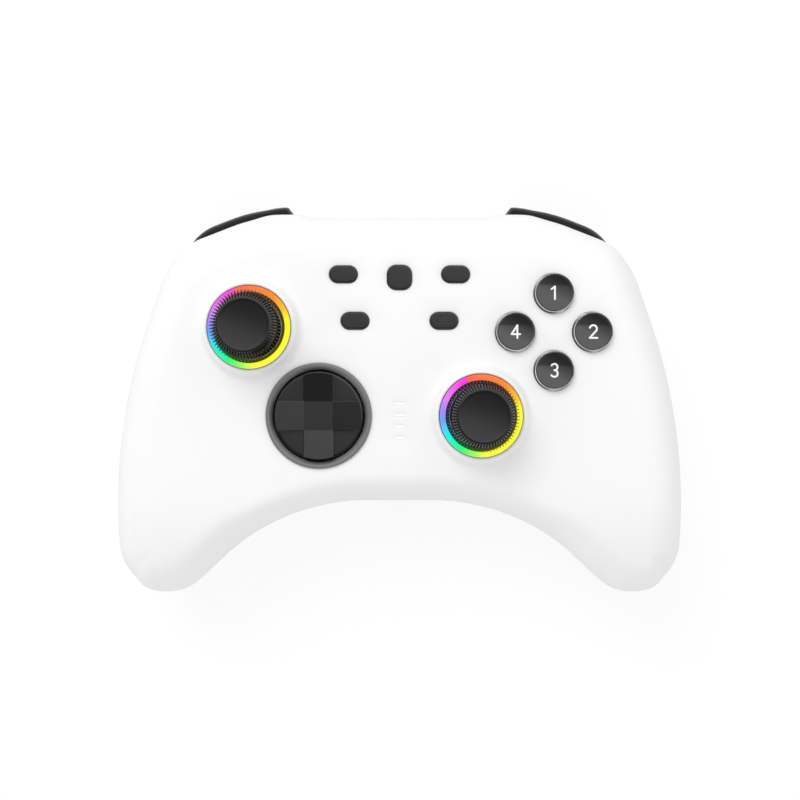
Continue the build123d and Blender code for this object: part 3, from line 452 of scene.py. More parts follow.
class Draft:
    """A mesh in the making, in millimetres."""

    def __init__(self) -> None:
        """Starts with nothing."""
        self.points: list[Point3] = []
        self.faces: list[tuple[int, ...]] = []

    def loop(self, ring: Sequence[Sequence[float]], height: float | Height | None = None) -> Loop:
        """Adds a closed row of points.

        Args:
            ring: the points, with Z if no height is given.
            height: their Z, or a function of X and Y that gives it.

        Returns:
            The indices of the points.
        """
        start = len(self.points)
        for point in ring:
            x, y = float(point[0]), float(point[1])
            if height is None:
                z = float(point[2])
            else:
                z = height(x, y) if callable(height) else height
            self.points.append((x, y, z))
        return list(range(start, len(self.points)))

    def bridge(self, first: Loop, second: Loop) -> None:
        """Joins two closed rows of as many points by a band of faces."""
        for here in range(len(first)):
            there = (here + 1) % len(first)
            self.faces.append((first[here], first[there], second[there], second[here]))

    def stack(self, loops: Sequence[Loop], capped: bool = False) -> None:
        """Joins rows one after another, and closes the first and the last if they are capped."""
        for first, second in zip(loops, loops[1:]):
            self.bridge(first, second)
        if capped:
            self.faces += [tuple(loops[0]), tuple(loops[-1])]

    def fan(self, ring: Loop, tip: Point3) -> None:
        """Closes a row towards one point."""
        centre = len(self.points)
        self.points.append(tip)
        self.faces += [(ring[here], ring[(here + 1) % len(ring)], centre) for here in range(len(ring))]

    def join(self, other: "Draft") -> None:
        """Takes in another draft."""
        shift = len(self.points)
        self.points += other.points
        self.faces += [tuple(i + shift for i in face) for face in other.faces]

    def fill(self, outer: Loop, holes: Sequence[Loop], height: Height | float, spacing: float = 6.0) -> None:
        """Closes a flat or gently curved region between an outline and its holes.

        Args:
            outer: the outline.
            holes: the openings inside it.
            height: Z of the points added between them.
            spacing: distance between those points.
        """
        rings = [np.array([self.points[i][:2] for i in ring]) for ring in (outer, *holes)]
        columns, rows = [np.arange(low + spacing / 2, high, spacing)
                         for low, high in zip(rings[0].min(axis=0), rings[0].max(axis=0))]
        grid = np.array([(x, y) for y in rows for x in columns]).reshape(-1, 2)
        if len(grid):
            clear = spacing / 3
            keep = inside(grid, rings[0]) & (edge_distance(grid, rings[0]) > clear)
            for ring in rings[1:]:
                keep &= ~inside(grid, ring) & (edge_distance(grid, ring) > clear)
            grid = grid[keep]
        edges = []
        start = 0
        for ring in rings:
            edges += [(start + i, start + (i + 1) % len(ring)) for i in range(len(ring))]
            start += len(ring)
        flat = [Vector(p) for points in (*rings, grid) for p in points.tolist()]
        made, _, triangles, origins, _, _ = delaunay_2d_cdt(flat, edges, [], 0, SAME_MM)
        known = [index for ring in (outer, *holes) for index in ring] + self.loop(grid, height)
        names = [known[group[0]] for group in origins]
        centres = np.array([sum((made[i] for i in face), Vector((0, 0))) / len(face) for face in triangles])
        keep = inside(centres, rings[0])
        for ring in rings[1:]:
            keep &= ~inside(centres, ring)
        self.faces += [tuple(names[i] for i in face) for face, kept in zip(triangles, keep) if kept]

    def mesh(self, name: str) -> bpy.types.Mesh:
        """Turns the draft into a mesh.

        Args:
            name: the mesh's name.

        Returns:
            The mesh in metres, welded, with its faces outwards.
        """
        data = bpy.data.meshes.new(name)
        data.from_pydata([tuple(c * MM for c in p) for p in self.points], [], self.faces)
        work = bmesh.new()
        work.from_mesh(data)
        bmesh.ops.remove_doubles(work, verts=work.verts, dist=WELD_M)
        bmesh.ops.recalc_face_normals(work, faces=work.faces)
        work.to_mesh(data)
        work.free()
        return data


def lathe(profile: Sequence[Point2], centre: Point2, segments: int = 96) -> Draft:
    """Turns a profile about an upright axis.

    Args:
        profile: radius and height of its points. It ends on the axis at both ends, or closes on itself.
        centre: where the axis stands.
        segments: faces round the axis.

    Returns:
        The turned form.
    """
    draft = Draft()
    rows = [draft.loop(np.array(centre) + r * circle(segments), z) for r, z in profile if r > 0]
    draft.stack(rows)
    if profile[0][0] > 0:
        draft.bridge(rows[-1], rows[0])
    else:
        draft.fan(rows[0], (*centre, profile[0][1]))
        draft.fan(rows[-1], (*centre, profile[-1][1]))
    return draft


def prism(ring: Sequence[Sequence[float]], low: float, high: float) -> Draft:
    """A straight block over an outline.

    Args:
        ring: the outline.
        low: its lowest height.
        high: its highest height.

    Returns:
        The closed block.
    """
    draft = Draft()
    draft.stack([draft.loop(ring, low), draft.loop(ring, high)], capped=True)
    return draft


def bar(centre: Point2, half_x: float, half_y: float) -> Profile:
    """Corners of a rectangle."""
    x, y = centre
    return tuple((x + a * half_x, y + b * half_y) for a, b in ((-1, -1), (1, -1), (1, 1), (-1, 1)))


@dataclass(frozen=True)
class Opening:
    """A round, oval or square hole with rounded corners."""

    centre: Point2
    half_x: float
    half_y: float
    corner_r: float
    corner_steps: int = 12
    lip: float = 0.3

    def ring(self, offset: float = 0.0) -> np.ndarray:
        """The hole's outline.

        Args:
            offset: how far it is let out.

        Returns:
            Its points, as many for every offset.
        """
        radius = self.corner_r + offset
        reach = (self.half_x - self.corner_r, self.half_y - self.corner_r)
        made = []
        for quarter, (sx, sy) in enumerate([(1, 1), (-1, 1), (-1, -1), (1, -1)]):
            for step in range(self.corner_steps + 1):
                angle = (quarter + step / self.corner_steps) * QUARTER_TURN
                made.append((self.centre[0] + sx * reach[0] + radius * math.cos(angle),
                             self.centre[1] + sy * reach[1] + radius * math.sin(angle)))
        points = np.array(made)
        keep = np.linalg.norm(points - np.roll(points, 1, axis=0), axis=1) > 1e-9
        return points[keep]


def round_hole(x: float, y: float, radius: float, corner_steps: int = 16) -> Opening:
    """A round hole."""
    return Opening((x, y), radius, radius, radius, corner_steps)


# Finished pieces

def linked(name: str, data: bpy.types.ID) -> bpy.types.Object:
    """Puts a mesh, lamp or camera into the scene as an object."""
    piece = bpy.data.objects.new(name, data)
    bpy.context.scene.collection.objects.link(piece)
    return piece


def place(data: bpy.types.Mesh, finish: Finish, body: str, slot: str | None = None,
          stands_for: Sequence[str] = (), smooth_angle: float = 40.0) -> None:
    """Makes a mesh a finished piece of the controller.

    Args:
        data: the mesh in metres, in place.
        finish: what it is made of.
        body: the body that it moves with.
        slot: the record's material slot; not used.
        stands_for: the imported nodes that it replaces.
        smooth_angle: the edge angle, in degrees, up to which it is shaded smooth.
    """
    data.materials.clear()
    data.materials.append(finish.material())
    data.shade_smooth()
    data.set_sharp_from_angle(angle=math.radians(smooth_angle))
    piece = linked(data.name, data)
    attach(piece, body)
    if stands_for:
        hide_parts(*stands_for)
    log.info("%s rides on %s, %d faces", piece.name, body, len(data.polygons))


def drop(piece: bpy.types.Object) -> None:
    """Deletes an object and its mesh."""
    data = piece.data
    bpy.data.objects.remove(piece)
    bpy.data.meshes.remove(data)


def evaluated(piece: bpy.types.Object, name: str) -> bpy.types.Mesh:
    """Turns an object with its modifiers into a plain mesh and deletes the object.

    Args:
        piece: the object.
        name: the new mesh's name.

    Returns:
        The mesh.
    """
    graph = bpy.context.evaluated_depsgraph_get()
    data = bpy.data.meshes.new_from_object(piece.evaluated_get(graph))
    drop(piece)
    data.name = name
    return data


def carved(data: bpy.types.Mesh, cutters: Sequence[Draft]) -> bpy.types.Mesh:
    """Cuts forms out of a mesh.

    Args:
        data: the mesh.
        cutters: closed forms that don't touch each other.

    Returns:
        The carved mesh, under the same name.
    """
    together = Draft()
    for cutter in cutters:
        together.join(cutter)
    tool, blank = linked("cutter", together.mesh("cutter")), linked("blank", data)
    cut = blank.modifiers.new("cut", "BOOLEAN")
    cut.operation = "DIFFERENCE"
    cut.solver = "EXACT"
    cut.object = tool
    made = evaluated(blank, data.name)
    drop(tool)
    return made


def bevelled(data: bpy.types.Mesh, width: float, segments: int = 3, angle: float = 30.0) -> bpy.types.Mesh:
    """Rounds the sharp edges of a mesh.

    Args:
        data: the mesh.
        width: the width of the rounding, in millimetres.
        segments: its faces across.
        angle: the edge angle, in degrees, from which it applies.

    Returns:
        The rounded mesh, under the same name.
    """
    blank = linked("blank", data)
    rounding = blank.modifiers.new("rounding", "BEVEL")
    rounding.width = width * MM
    rounding.segments = segments
    rounding.limit_method = "ANGLE"
    rounding.angle_limit = math.radians(angle)
    rounding.harden_normals = False
    return evaluated(blank, data.name)


def copied(node: str, name: str, flat_angle: float = 0.5) -> bpy.types.Mesh:
    """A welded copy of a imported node's mesh with its flat faces whole.

    Args:
        node: the node's name.
        name: the copy's name.
        flat_angle: the edge angle, in degrees, up to which faces count as one.

    Returns:
        The copy.
    """
    data = frame["nodes"][node].data.copy()
    data.name = name
    work = bmesh.new()
    work.from_mesh(data)
    bmesh.ops.remove_doubles(work, verts=work.verts, dist=CAD_WELD_M)
    bmesh.ops.dissolve_limit(work, angle_limit=math.radians(flat_angle), verts=work.verts, edges=work.edges)
    work.to_mesh(data)
    work.free()
    return data


def repeated(unit: bpy.types.Mesh, name: str, places: Sequence[Point2], finish: Finish,
             turn: float = 0.0) -> bpy.types.Mesh:
    """Repeats a unit with geometry nodes.

    Args:
        unit: the unit's mesh, as it stands at the origin.
        name: the new mesh's name.
        places: where the copies stand.
        finish: what they are made of.
        turn: how far each copy is turned on from the one before.

    Returns:
        All the copies as one plain mesh.
    """
    tree = bpy.data.node_groups.new(f"{name}_pattern", "GeometryNodeTree")
    sockets = {
        label: tree.interface.new_socket(label, in_out="INPUT", socket_type=f"NodeSocket{kind}").identifier
        for label, kind in (("Places", "Geometry"), ("Unit", "Object"), ("Turn", "Float"),
                            ("Material", "Material"))}
    tree.interface.new_socket("Copies", in_out="OUTPUT", socket_type="NodeSocketGeometry")
    wiring = Wiring(tree)
    given = wiring.add("NodeGroupInput").outputs
    shape = wiring.add("GeometryNodeObjectInfo", {"Object": given["Unit"]}).outputs["Geometry"]
    index = wiring.add("GeometryNodeInputIndex").outputs["Index"]
    spin = wiring.add("ShaderNodeCombineXYZ", {"Z": wiring.math("MULTIPLY", index, given["Turn"])})
    copies = wiring.add("GeometryNodeInstanceOnPoints", {
        "Points": given["Places"], "Instance": shape, "Rotation": spin.outputs["Vector"]})
    real = wiring.add("GeometryNodeRealizeInstances", {"Geometry": copies.outputs["Instances"]})
    dressed = wiring.add("GeometryNodeSetMaterial", {
        "Geometry": real.outputs["Geometry"], "Material": given["Material"]})
    wiring.add("NodeGroupOutput", {"Copies": dressed.outputs["Geometry"]})
    points = bpy.data.meshes.new(f"{name}_places")
    points.from_pydata([(x * MM, y * MM, 0.0) for x, y in places], [], [])
    carrier, master = linked(name, points), linked(f"{name}_unit", unit)
    pattern = carrier.modifiers.new("pattern", "NODES")
    pattern.node_group = tree
    pattern[sockets["Unit"]] = master
    pattern[sockets["Turn"]] = turn
    pattern[sockets["Material"]] = finish.material()
    made = evaluated(carrier, name)
    drop(master)
    return made


# Housing

@dataclass
class HousingPlan:
    """The controller's outline from above, the same on both sides."""

    top_edge_y: float = 49.0
    arch_y: float = -26.7
    # Each corner of the right half and the radius of its curve
    corners: tuple[Point3, ...] = (
        (37.6, 49.0, 38.0), (60.9, 39.9, 20.0), (75.5, -2.5, 150.0), (75.5, -68.7, 13.0),
        (30.8, -26.7, 57.0),
    )
    spacing: float = 1.7
    turn_step: float = 6.0
    face_z: float = 46.0
    droop_y: float = -26.0
    droop_r: float = 42.0
    tail_r: float = 60.0
    points: np.ndarray = field(init=False)
    normals: np.ndarray = field(init=False)

    def __post_init__(self) -> None:
        """Works out the outline's points and outward normals, clockwise from the top middle."""
        path = self.right_half()
        flip = np.array([-1, 1])
        self.points, self.normals = [
            np.concatenate([half, (half[1:-1] * flip)[::-1]])
            for half in (np.array([p for p, _ in path]), np.array([n for _, n in path]))]

    def right_half(self) -> list[tuple[Point2, Point2]]:
        """Walks the right half.

        Returns:
            Each point with its outward normal.
        """
        start, end = Vector((0, self.top_edge_y)), Vector((0, self.arch_y))
        stops = [start, *[Vector(c[:2]) for c in self.corners], end]
        path: list[tuple[Point2, Point2]] = []
        here = start
        for index, (_, _, radius) in enumerate(self.corners):
            corner = stops[index + 1]
            heading = (corner - stops[index]).normalized()
            leaving = (stops[index + 2] - corner).normalized()
            turn = math.atan2(heading.cross(leaving), heading.dot(leaving))
            reach = radius * math.copysign(1, -turn)
            tangent = radius * math.tan(abs(turn) / 2)
            self.walk_line(path, here, corner - heading * tangent)
            first_out = Vector((-heading.y, heading.x))
            centre = corner - heading * tangent - first_out * reach
            steps = max(2, math.ceil(max(abs(turn) * radius / self.spacing,
                                         math.degrees(abs(turn)) / self.turn_step)))
            for step in range(steps):
                spun = first_out.copy()
                spun.rotate(Matrix.Rotation(turn * step / steps, 2))
                path.append((tuple(centre + spun * reach), tuple(spun)))
            here = corner + leaving * tangent
        self.walk_line(path, here, end)
        heading = (end - here).normalized()
        path.append((tuple(end), (-heading.y, heading.x)))
        return path

    def walk_line(self, path: list[tuple[Point2, Point2]], start: Vector, end: Vector) -> None:
        """Adds the points of a straight stretch, but for its last."""
        run = end - start
        steps = max(1, round(run.length / self.spacing))
        out = Vector((-run.y, run.x)).normalized()
        path += [(tuple(start + run * step / steps), tuple(out)) for step in range(steps)]

    def inset(self, depth: float) -> np.ndarray:
        """The outline drawn in by a depth."""
        return self.points - self.normals * depth

    def fall(self, y: float, radius: float) -> float:
        """How far a curve of some radius has fallen over the grips."""
        return radius - math.sqrt(radius**2 - max(0.0, self.droop_y - y)**2)

    def top(self, x: float, y: float) -> float:
        """Height of the face, which falls away over the grips."""
        return self.face_z - self.fall(y, self.droop_r)

    def bottom(self, x: float, y: float) -> float:
        """Height of the belly, which rises under the grips."""
        return self.fall(y, self.tail_r)

    def shoulder(self, x: float) -> tuple[np.ndarray, np.ndarray]:
        """The outline's point and normal at a place along a shoulder.

        Args:
            x: the place, negative on the left.

        Returns:
            The point and the outward normal.
        """
        upper = (self.points[:, 1] > 0) & (self.points[:, 0] >= 0)
        order = np.argsort(self.points[upper][:, 0])
        along, out = self.points[upper][order], self.normals[upper][order]
        flip = np.array([math.copysign(1, x), 1])
        point = np.array([abs(x), np.interp(abs(x), along[:, 0], along[:, 1])])
        normal = np.array([np.interp(abs(x), along[:, 0], out[:, axis]) for axis in (0, 1)])
        return point * flip, normal / np.linalg.norm(normal) * flip


@dataclass
class Controls:
    """Where the controls stand on the face, and the openings that they take."""

    sticks: dict[Side, Point2] = field(default_factory=lambda: {
        Side.LEFT: (-37.7, 18.2), Side.RIGHT: (20.5, -4.0)})
    dpad: Point2 = (-20.5, -4.0)
    face_centre: Point2 = (39.2, 17.3)
    face_pitch: float = 9.8
    home: Point2 = (0.0, 31.1)
    ovals: dict[str, Point2] = field(default_factory=lambda: {
        "upper_left_button": (-14.25, 31.9), "upper_right_button": (14.25, 31.9),
        "lower_left_button": (-11.3, 20.1), "lower_right_button": (11.3, 20.1)})
    light_ys: tuple[float, ...] = (-0.9, -3.8, -6.7, -9.6)
    light_half: Point2 = (1.53, 0.4)
    dpad_hole_r: float = 13.0
    face_hole_r: float = 5.15
    # Half the width and height of the function buttons and their corners' radius
    oval_sizes: Point3 = (3.54, 2.12, 2.12)
    home_sizes: Point3 = (3.07, 3.07, 2.22)
    button_gap: float = 0.12
    small_lip: float = 0.2
    case_screws: tuple[Point2, ...] = ((66.0, 6.0), (-66.0, 6.0), (62.5, -44.0), (-62.5, -44.0), (0.0, -20.2))

    def face_places(self) -> dict[str, Point2]:
        """Each face button's place by its word."""
        x, y = self.face_centre
        return {"top": (x, y + self.face_pitch), "right": (x + self.face_pitch, y),
                "bottom": (x, y - self.face_pitch), "left": (x - self.face_pitch, y)}

    def function_shapes(self, gap: float = 0.0) -> dict[str, Opening]:
        """Each function button's outline by its node.

        Args:
            gap: how far the outlines are let out.

        Returns:
            The outlines.
        """
        oval, home = [[size + gap for size in sizes] for sizes in (self.oval_sizes, self.home_sizes)]
        shapes = {name: Opening(at, *oval, lip=self.small_lip) for name, at in self.ovals.items()}
        return {**shapes, "home_button": Opening(self.home, *home, corner_steps=10, lip=self.small_lip)}

    def openings(self) -> list[Opening]:
        """Every plain hole of the face.

        Returns:
            The holes for the direction pad, the buttons and the indicator lights.
        """
        return [round_hole(*self.dpad, self.dpad_hole_r, corner_steps=24),
                *[round_hole(x, y, self.face_hole_r) for x, y in self.face_places().values()],
                *self.function_shapes(self.button_gap).values(),
                *[Opening((0.0, y), *self.light_half, corner_r=0.15, corner_steps=4, lip=0.06)
                  for y in self.light_ys]]


@dataclass
class FrontShell:
    """The white face with its rounded edge, stick collars, holes and hollow."""

    plan: HousingPlan
    controls: Controls
    lip_z: float = 22.1
    lip_round: float = 0.25
    # Width and height of the rounded edge, in general and at four places
    edge: Point2 = (12.0, 20.0)
    shoulder_edge: Point2 = (12.0, 15.8)
    nose_edge: Point2 = (12.0, 12.6)
    tip_edge: Point2 = (9.0, 10.0)
    arch_edge: Point2 = (8.0, 16.0)
    # Where those places begin and end along X or Y, and the outward lean that counts as a tip
    shoulder_xs: tuple[float, ...] = (22, 29, 56, 63)
    nose_xs: tuple[float, ...] = (22, 28, 33, 40)
    tip_ys: Point2 = (30, 44)
    tip_lean: Point2 = (0.6, 0.98)
    arch_xs: Point2 = (34, 50)
    least_wall: float = 0.4
    edge_steps: int = 12
    roof_z: float = 44.0
    collar_segments: int = 128
    # Radius and height of the collar from its foot, over its rim, to the hollow
    collar: Profile = (
        (13.6, 46.0), (13.1, 46.12), (12.65, 46.45), (12.3, 46.95), (12.05, 47.6), (11.85, 48.4),
        (11.68, 49.2), (11.5, 49.75), (11.25, 50.08), (10.95, 50.2), (10.72, 50.12), (10.58, 49.9),
        (10.55, 49.5), (10.55, 47.0), (7.9, 47.0), (7.75, 46.8), (8.35, 46.17), (9.17, 45.08), (9.8, 44.0),
    )
    # How far the edge of a hole stands out and lies below the face, as shares of its lip
    hole_lip: Profile = ((1, 0), (0.5, 0.13), (0.13, 0.5), (0, 1))
    # Each step of the hollow: wall, heights, where the shoulders, the back and the front end it
    hollow: tuple[tuple[float | None, ...], ...] = (
        (3.0, 22.1, 33.0, 48.8, 39.5, None), (5.2, 33.0, 39.0, 48.0, 38.7, 40.0),
        (7.5, 39.0, 44.0, 47.2, 37.9, 27.5))
    shoulder_normal: Point2 = (0.363, 0.932)
    pocket_xs: Point2 = (27.8, 56.4)
    pocket_zs: Point2 = (23.6, 36.4)
    pocket_stations: int = 24
    # How far a bumper's pocket reaches out of the shoulder and into it
    pocket_out: float = 3.0
    pocket_in: float = 8.0
    socket: Opening = Opening((0.0, 28.4), 4.6, 1.7, 1.4, 8)
    socket_ys: Point2 = (38.0, 52.0)

    def edge_sizes(self) -> np.ndarray:
        """Width and height of the rounded edge at each point of the outline.

        Returns:
            Rows of the two sizes.
        """
        sizes = []
        for (x, y), (nx, ny) in zip(self.plan.points, self.plan.normals):
            size = np.array(self.edge)
            shoulder, nose = [fade(abs(x), *xs[:2]) * (1 - fade(abs(x), *xs[2:])) * (y > 0)
                              for xs in (self.shoulder_xs, self.nose_xs)]
            tip = fade(-y, *self.tip_ys) * (1.0 if nx * x < 0 else fade(-ny, *self.tip_lean))
            arch = (1 - fade(abs(x), *self.arch_xs)) * (y < 0)
            for share, edge in ((shoulder, self.shoulder_edge), (nose, self.nose_edge),
                                (tip, self.tip_edge), (arch, self.arch_edge)):
                size += (np.array(edge) - size) * share
            size[1] = min(size[1], self.plan.top(x, y) - self.lip_z - self.least_wall)
            sizes.append(size)
        return np.array(sizes)

    def skin_loops(self, draft: Draft) -> list[Loop]:
        """Adds the outer skin's rows, from the seam to the top.

        Args:
            draft: the shell's draft.

        Returns:
            The rows.
        """
        plan, sizes = self.plan, self.edge_sizes()
        loops = [draft.loop(plan.inset(self.lip_round), self.lip_z),
                 draft.loop(plan.inset(0.0), self.lip_z + self.lip_round)]
        for step in range(self.edge_steps + 1):
            turn = step / self.edge_steps * QUARTER_TURN
            ring = plan.points - plan.normals * (sizes[:, :1] * (1 - math.cos(turn)))
            drops = sizes[:, 1] * (1 - math.sin(turn))
            loops.append(draft.loop([(x, y, plan.top(x, y) - drop) for (x, y), drop in zip(ring, drops)]))
        return loops

    def draft(self) -> Draft:
        """Drafts the shell before its pockets are cut.

        Returns:
            The closed form.
        """
        draft = Draft()
        skin = self.skin_loops(draft)
        draft.stack(skin)
        upper, lower = [], []
        for hole in self.controls.openings():
            rows = [draft.loop(hole.ring(out * hole.lip), self.plan.face_z - down * hole.lip)
                    for out, down in self.hole_lip]
            rows.append(draft.loop(hole.ring(), self.roof_z))
            draft.stack(rows)
            upper.append(rows[0])
            lower.append(rows[-1])
        for centre in self.controls.sticks.values():
            rows = [draft.loop(np.array(centre) + r * circle(self.collar_segments), z)
                    for r, z in self.collar]
            draft.stack(rows)
            upper.append(rows[0])
            lower.append(rows[-1])
        draft.fill(skin[-1], upper, self.plan.top)
        outer = skin[0]
        for wall, low, high, shoulder, back, front in self.hollow:
            ring = self.plan.inset(wall)
            for side in Side:
                ring = clip(ring, (self.shoulder_normal[0] * side.value, self.shoulder_normal[1]), shoulder)
            ring = clip(ring, (0.0, 1.0), back)
            if front is not None:
                ring = clip(ring, (0.0, -1.0), front)
            foot, head = draft.loop(ring, low), draft.loop(ring, high)
            draft.bridge(foot, head)
            draft.fill(outer, [foot], low, spacing=30.0)
            outer = head
        draft.fill(outer, lower, self.roof_z, spacing=8.0)
        return draft

    def pockets(self) -> list[Draft]:
        """Drafts what is cut from the shell: the bumpers' pockets and the socket's slot."""
        cuts = []
        for side in Side:
            rows = [self.plan.shoulder(x * side.value)
                    for x in np.linspace(*self.pocket_xs, self.pocket_stations)]
            ring = [point + normal * self.pocket_out for point, normal in rows]
            ring += [point - normal * self.pocket_in for point, normal in rows[::-1]]
            cuts.append(prism(ring, *self.pocket_zs))
        slot = Draft()
        ends = [slot.loop([(x, y, z) for x, z in self.socket.ring()]) for y in self.socket_ys]
        slot.stack(ends, capped=True)
        return [*cuts, slot]

    def build(self) -> None:
        """Places the shell."""
        data = carved(self.draft().mesh("front_shell_skin"), self.pockets())
        place(data, SHELL_WHITE, "housing", "shell_white", ["front_shell"], smooth_angle=38)


@dataclass
class RearShell:
    """The white belly with its rounded edge, trigger notches and screw wells."""

    plan: HousingPlan
    controls: Controls
    lip_z: float = 21.9
    lip_round: float = 0.25
    belly_inset: float = 12.0
    edge_steps: int = 10
    wall: float = 3.0
    floor_z: float = 9.5
    hollow_front: float = 40.0
    trigger_turn: float = 16.0
    trigger_place: Point2 = (39.8, 34.4)
    notch_half: float = 12.4
    notch_back: float = 5.0
    notch_wall: float = 2.5
    notch_reach: float = 30.0
    notch_zs: Point2 = (-2.0, 24.0)
    screw_well_r: float = 3.0
    screw_well_zs: Point2 = (-2.0, 7.8)

    def notch_ring(self, side: Side) -> list[Point2]:
        """Corners of a trigger's notch, which stands square to its pin."""
        angle = -math.radians(self.trigger_turn) * side.value
        along = (math.cos(angle), math.sin(angle))
        out = (-math.sin(angle), math.cos(angle))
        x0, y0 = self.trigger_place[0] * side.value, self.trigger_place[1]
        half, back, reach = self.notch_half, self.notch_back, self.notch_reach
        return [(x0 + along[0] * a + out[0] * b, y0 + along[1] * a + out[1] * b)
                for a, b in ((-half, -back), (half, -back), (half, reach), (-half, reach))]

    def draft(self) -> Draft:
        """Drafts the shell before its notches and wells are cut.

        Returns:
            The closed form.
        """
        draft = Draft()
        plan = self.plan
        rim_z = self.lip_z - self.lip_round
        loops = [draft.loop(plan.inset(self.lip_round), self.lip_z), draft.loop(plan.inset(0.0), rim_z)]
        for step in range(1, self.edge_steps + 1):
            turn = step / self.edge_steps * QUARTER_TURN
            drop = 1 - math.sin(turn)
            loops.append(draft.loop(
                [(x, y, plan.bottom(x, y) + (rim_z - plan.bottom(x, y)) * drop)
                 for x, y in plan.inset(self.belly_inset * (1 - math.cos(turn)))]))
        draft.stack(loops)
        draft.fill(loops[-1], [], plan.bottom)
        ring = plan.inset(self.wall)
        tilt = math.radians(self.trigger_turn)
        back = np.array(self.trigger_place) @ np.array((math.sin(tilt), math.cos(tilt)))
        back -= self.notch_back + self.notch_wall
        for side in Side:
            ring = clip(ring, (math.sin(tilt) * side.value, math.cos(tilt)), back)
        ring = clip(ring, (0.0, -1.0), self.hollow_front)
        foot, head = draft.loop(ring, self.floor_z), draft.loop(ring, self.lip_z)
        draft.bridge(foot, head)
        draft.fill(loops[0], [head], self.lip_z, spacing=30.0)
        draft.fill(foot, [], self.floor_z, spacing=30.0)
        return draft

    def cuts(self) -> list[Draft]:
        """Drafts what is cut from the shell."""
        return [*[prism(self.notch_ring(side), *self.notch_zs) for side in Side],
                *[prism(round_hole(*at, self.screw_well_r, 12).ring(), *self.screw_well_zs)
                  for at in self.controls.case_screws]]

    def build(self) -> None:
        """Places the shell."""
        data = carved(self.draft().mesh("rear_shell_skin"), self.cuts())
        place(data, SHELL_WHITE, "housing", "shell_white", ["rear_shell"], smooth_angle=38)


@dataclass
class Bumper:
    """One shoulder button, a rounded bar that follows the shoulder's curve."""

    side: Side
    plan: HousingPlan
    low_z: float = 24.0
    high_z: float = 36.0
    depth: float = 6.0
    edge_r: float = 5.6
    steps: int = 9
    # The inner end: where it starts, the share that it stands out there, and how soon it is full
    nose: Point3 = (28.2, 0.25, 1.5)
    # How far the bar draws in along its middle and towards its tail, and between which places
    drawn_in: tuple[Point3, ...] = ((0.45, 31, 36), (0.8, 49, 54.5))
    tail_xs: Point2 = (51.0, 56.0)
    tail_cut: Point2 = (54.9, 0.35)
    stations: tuple[float, ...] = (
        28.2, 28.6, 29.1, 29.6, 30.1, 31.0, 33.0, 35.0, 37.0, 39.0, 41.0, 43.0, 45.0, 47.0, 49.0, 50.5, 51.8,
        52.8, 53.6, 54.3, 54.9, 55.4, 55.75, 55.95)

    def stand_out(self, x: float, full: float) -> float:
        """How far the bar stands out of the shoulder at a place.

        Args:
            x: the place.
            full: the stand-out along its middle.

        Returns:
            The stand-out there.
        """
        start, share, run = self.nose
        inner = min(1.0, share + (1 - share) * (x - start) / run)
        tail = max(0.0, (x - self.tail_xs[0]) / (self.tail_xs[1] - self.tail_xs[0]))
        lost = sum(amount * fade(x, near, far) for amount, near, far in self.drawn_in)
        lost += self.tail_cut[1] * max(0.0, x - self.tail_cut[0])
        return full * inner * math.sqrt(max(0.0, 1 - tail**2)) - lost

    def build(self) -> None:
        """Places the bumper."""
        node = f"{self.side.word}_bumper"
        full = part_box(node)[1][1] / MM - self.plan.top_edge_y
        draft = Draft()
        rows = []
        for x in self.stations:
            point, normal = self.plan.shoulder(x * self.side.value)
            out = self.stand_out(x, full)
            profile = [(-self.depth, self.low_z), (-self.depth, self.high_z)]
            for centre_z, start in ((self.high_z - self.edge_r, 90), (self.low_z + self.edge_r, 0)):
                for step in range(self.steps + 1):
                    angle = math.radians(start - 90 * step / self.steps)
                    profile.append((out - self.edge_r + self.edge_r * math.cos(angle),
                                    centre_z + self.edge_r * math.sin(angle)))
            rows.append(draft.loop([(*(point + normal * a), z) for a, z in profile]))
        draft.stack(rows, capped=True)
        place(draft.mesh(f"{node}_bar"), GLOSS_BLACK, node, "bumper_black", [node],
              smooth_angle=42)


@dataclass
class Trigger:
    """One trigger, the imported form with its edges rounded."""

    side: Side
    edge: float = 0.45

    def build(self) -> None:
        """Places the trigger."""
        node = f"{self.side.word}_trigger"
        data = bevelled(copied(node, f"{node}_finger"), self.edge)
        place(data, TRIGGER_BLACK, node, "trigger_black", [node], smooth_angle=30)


# Controls

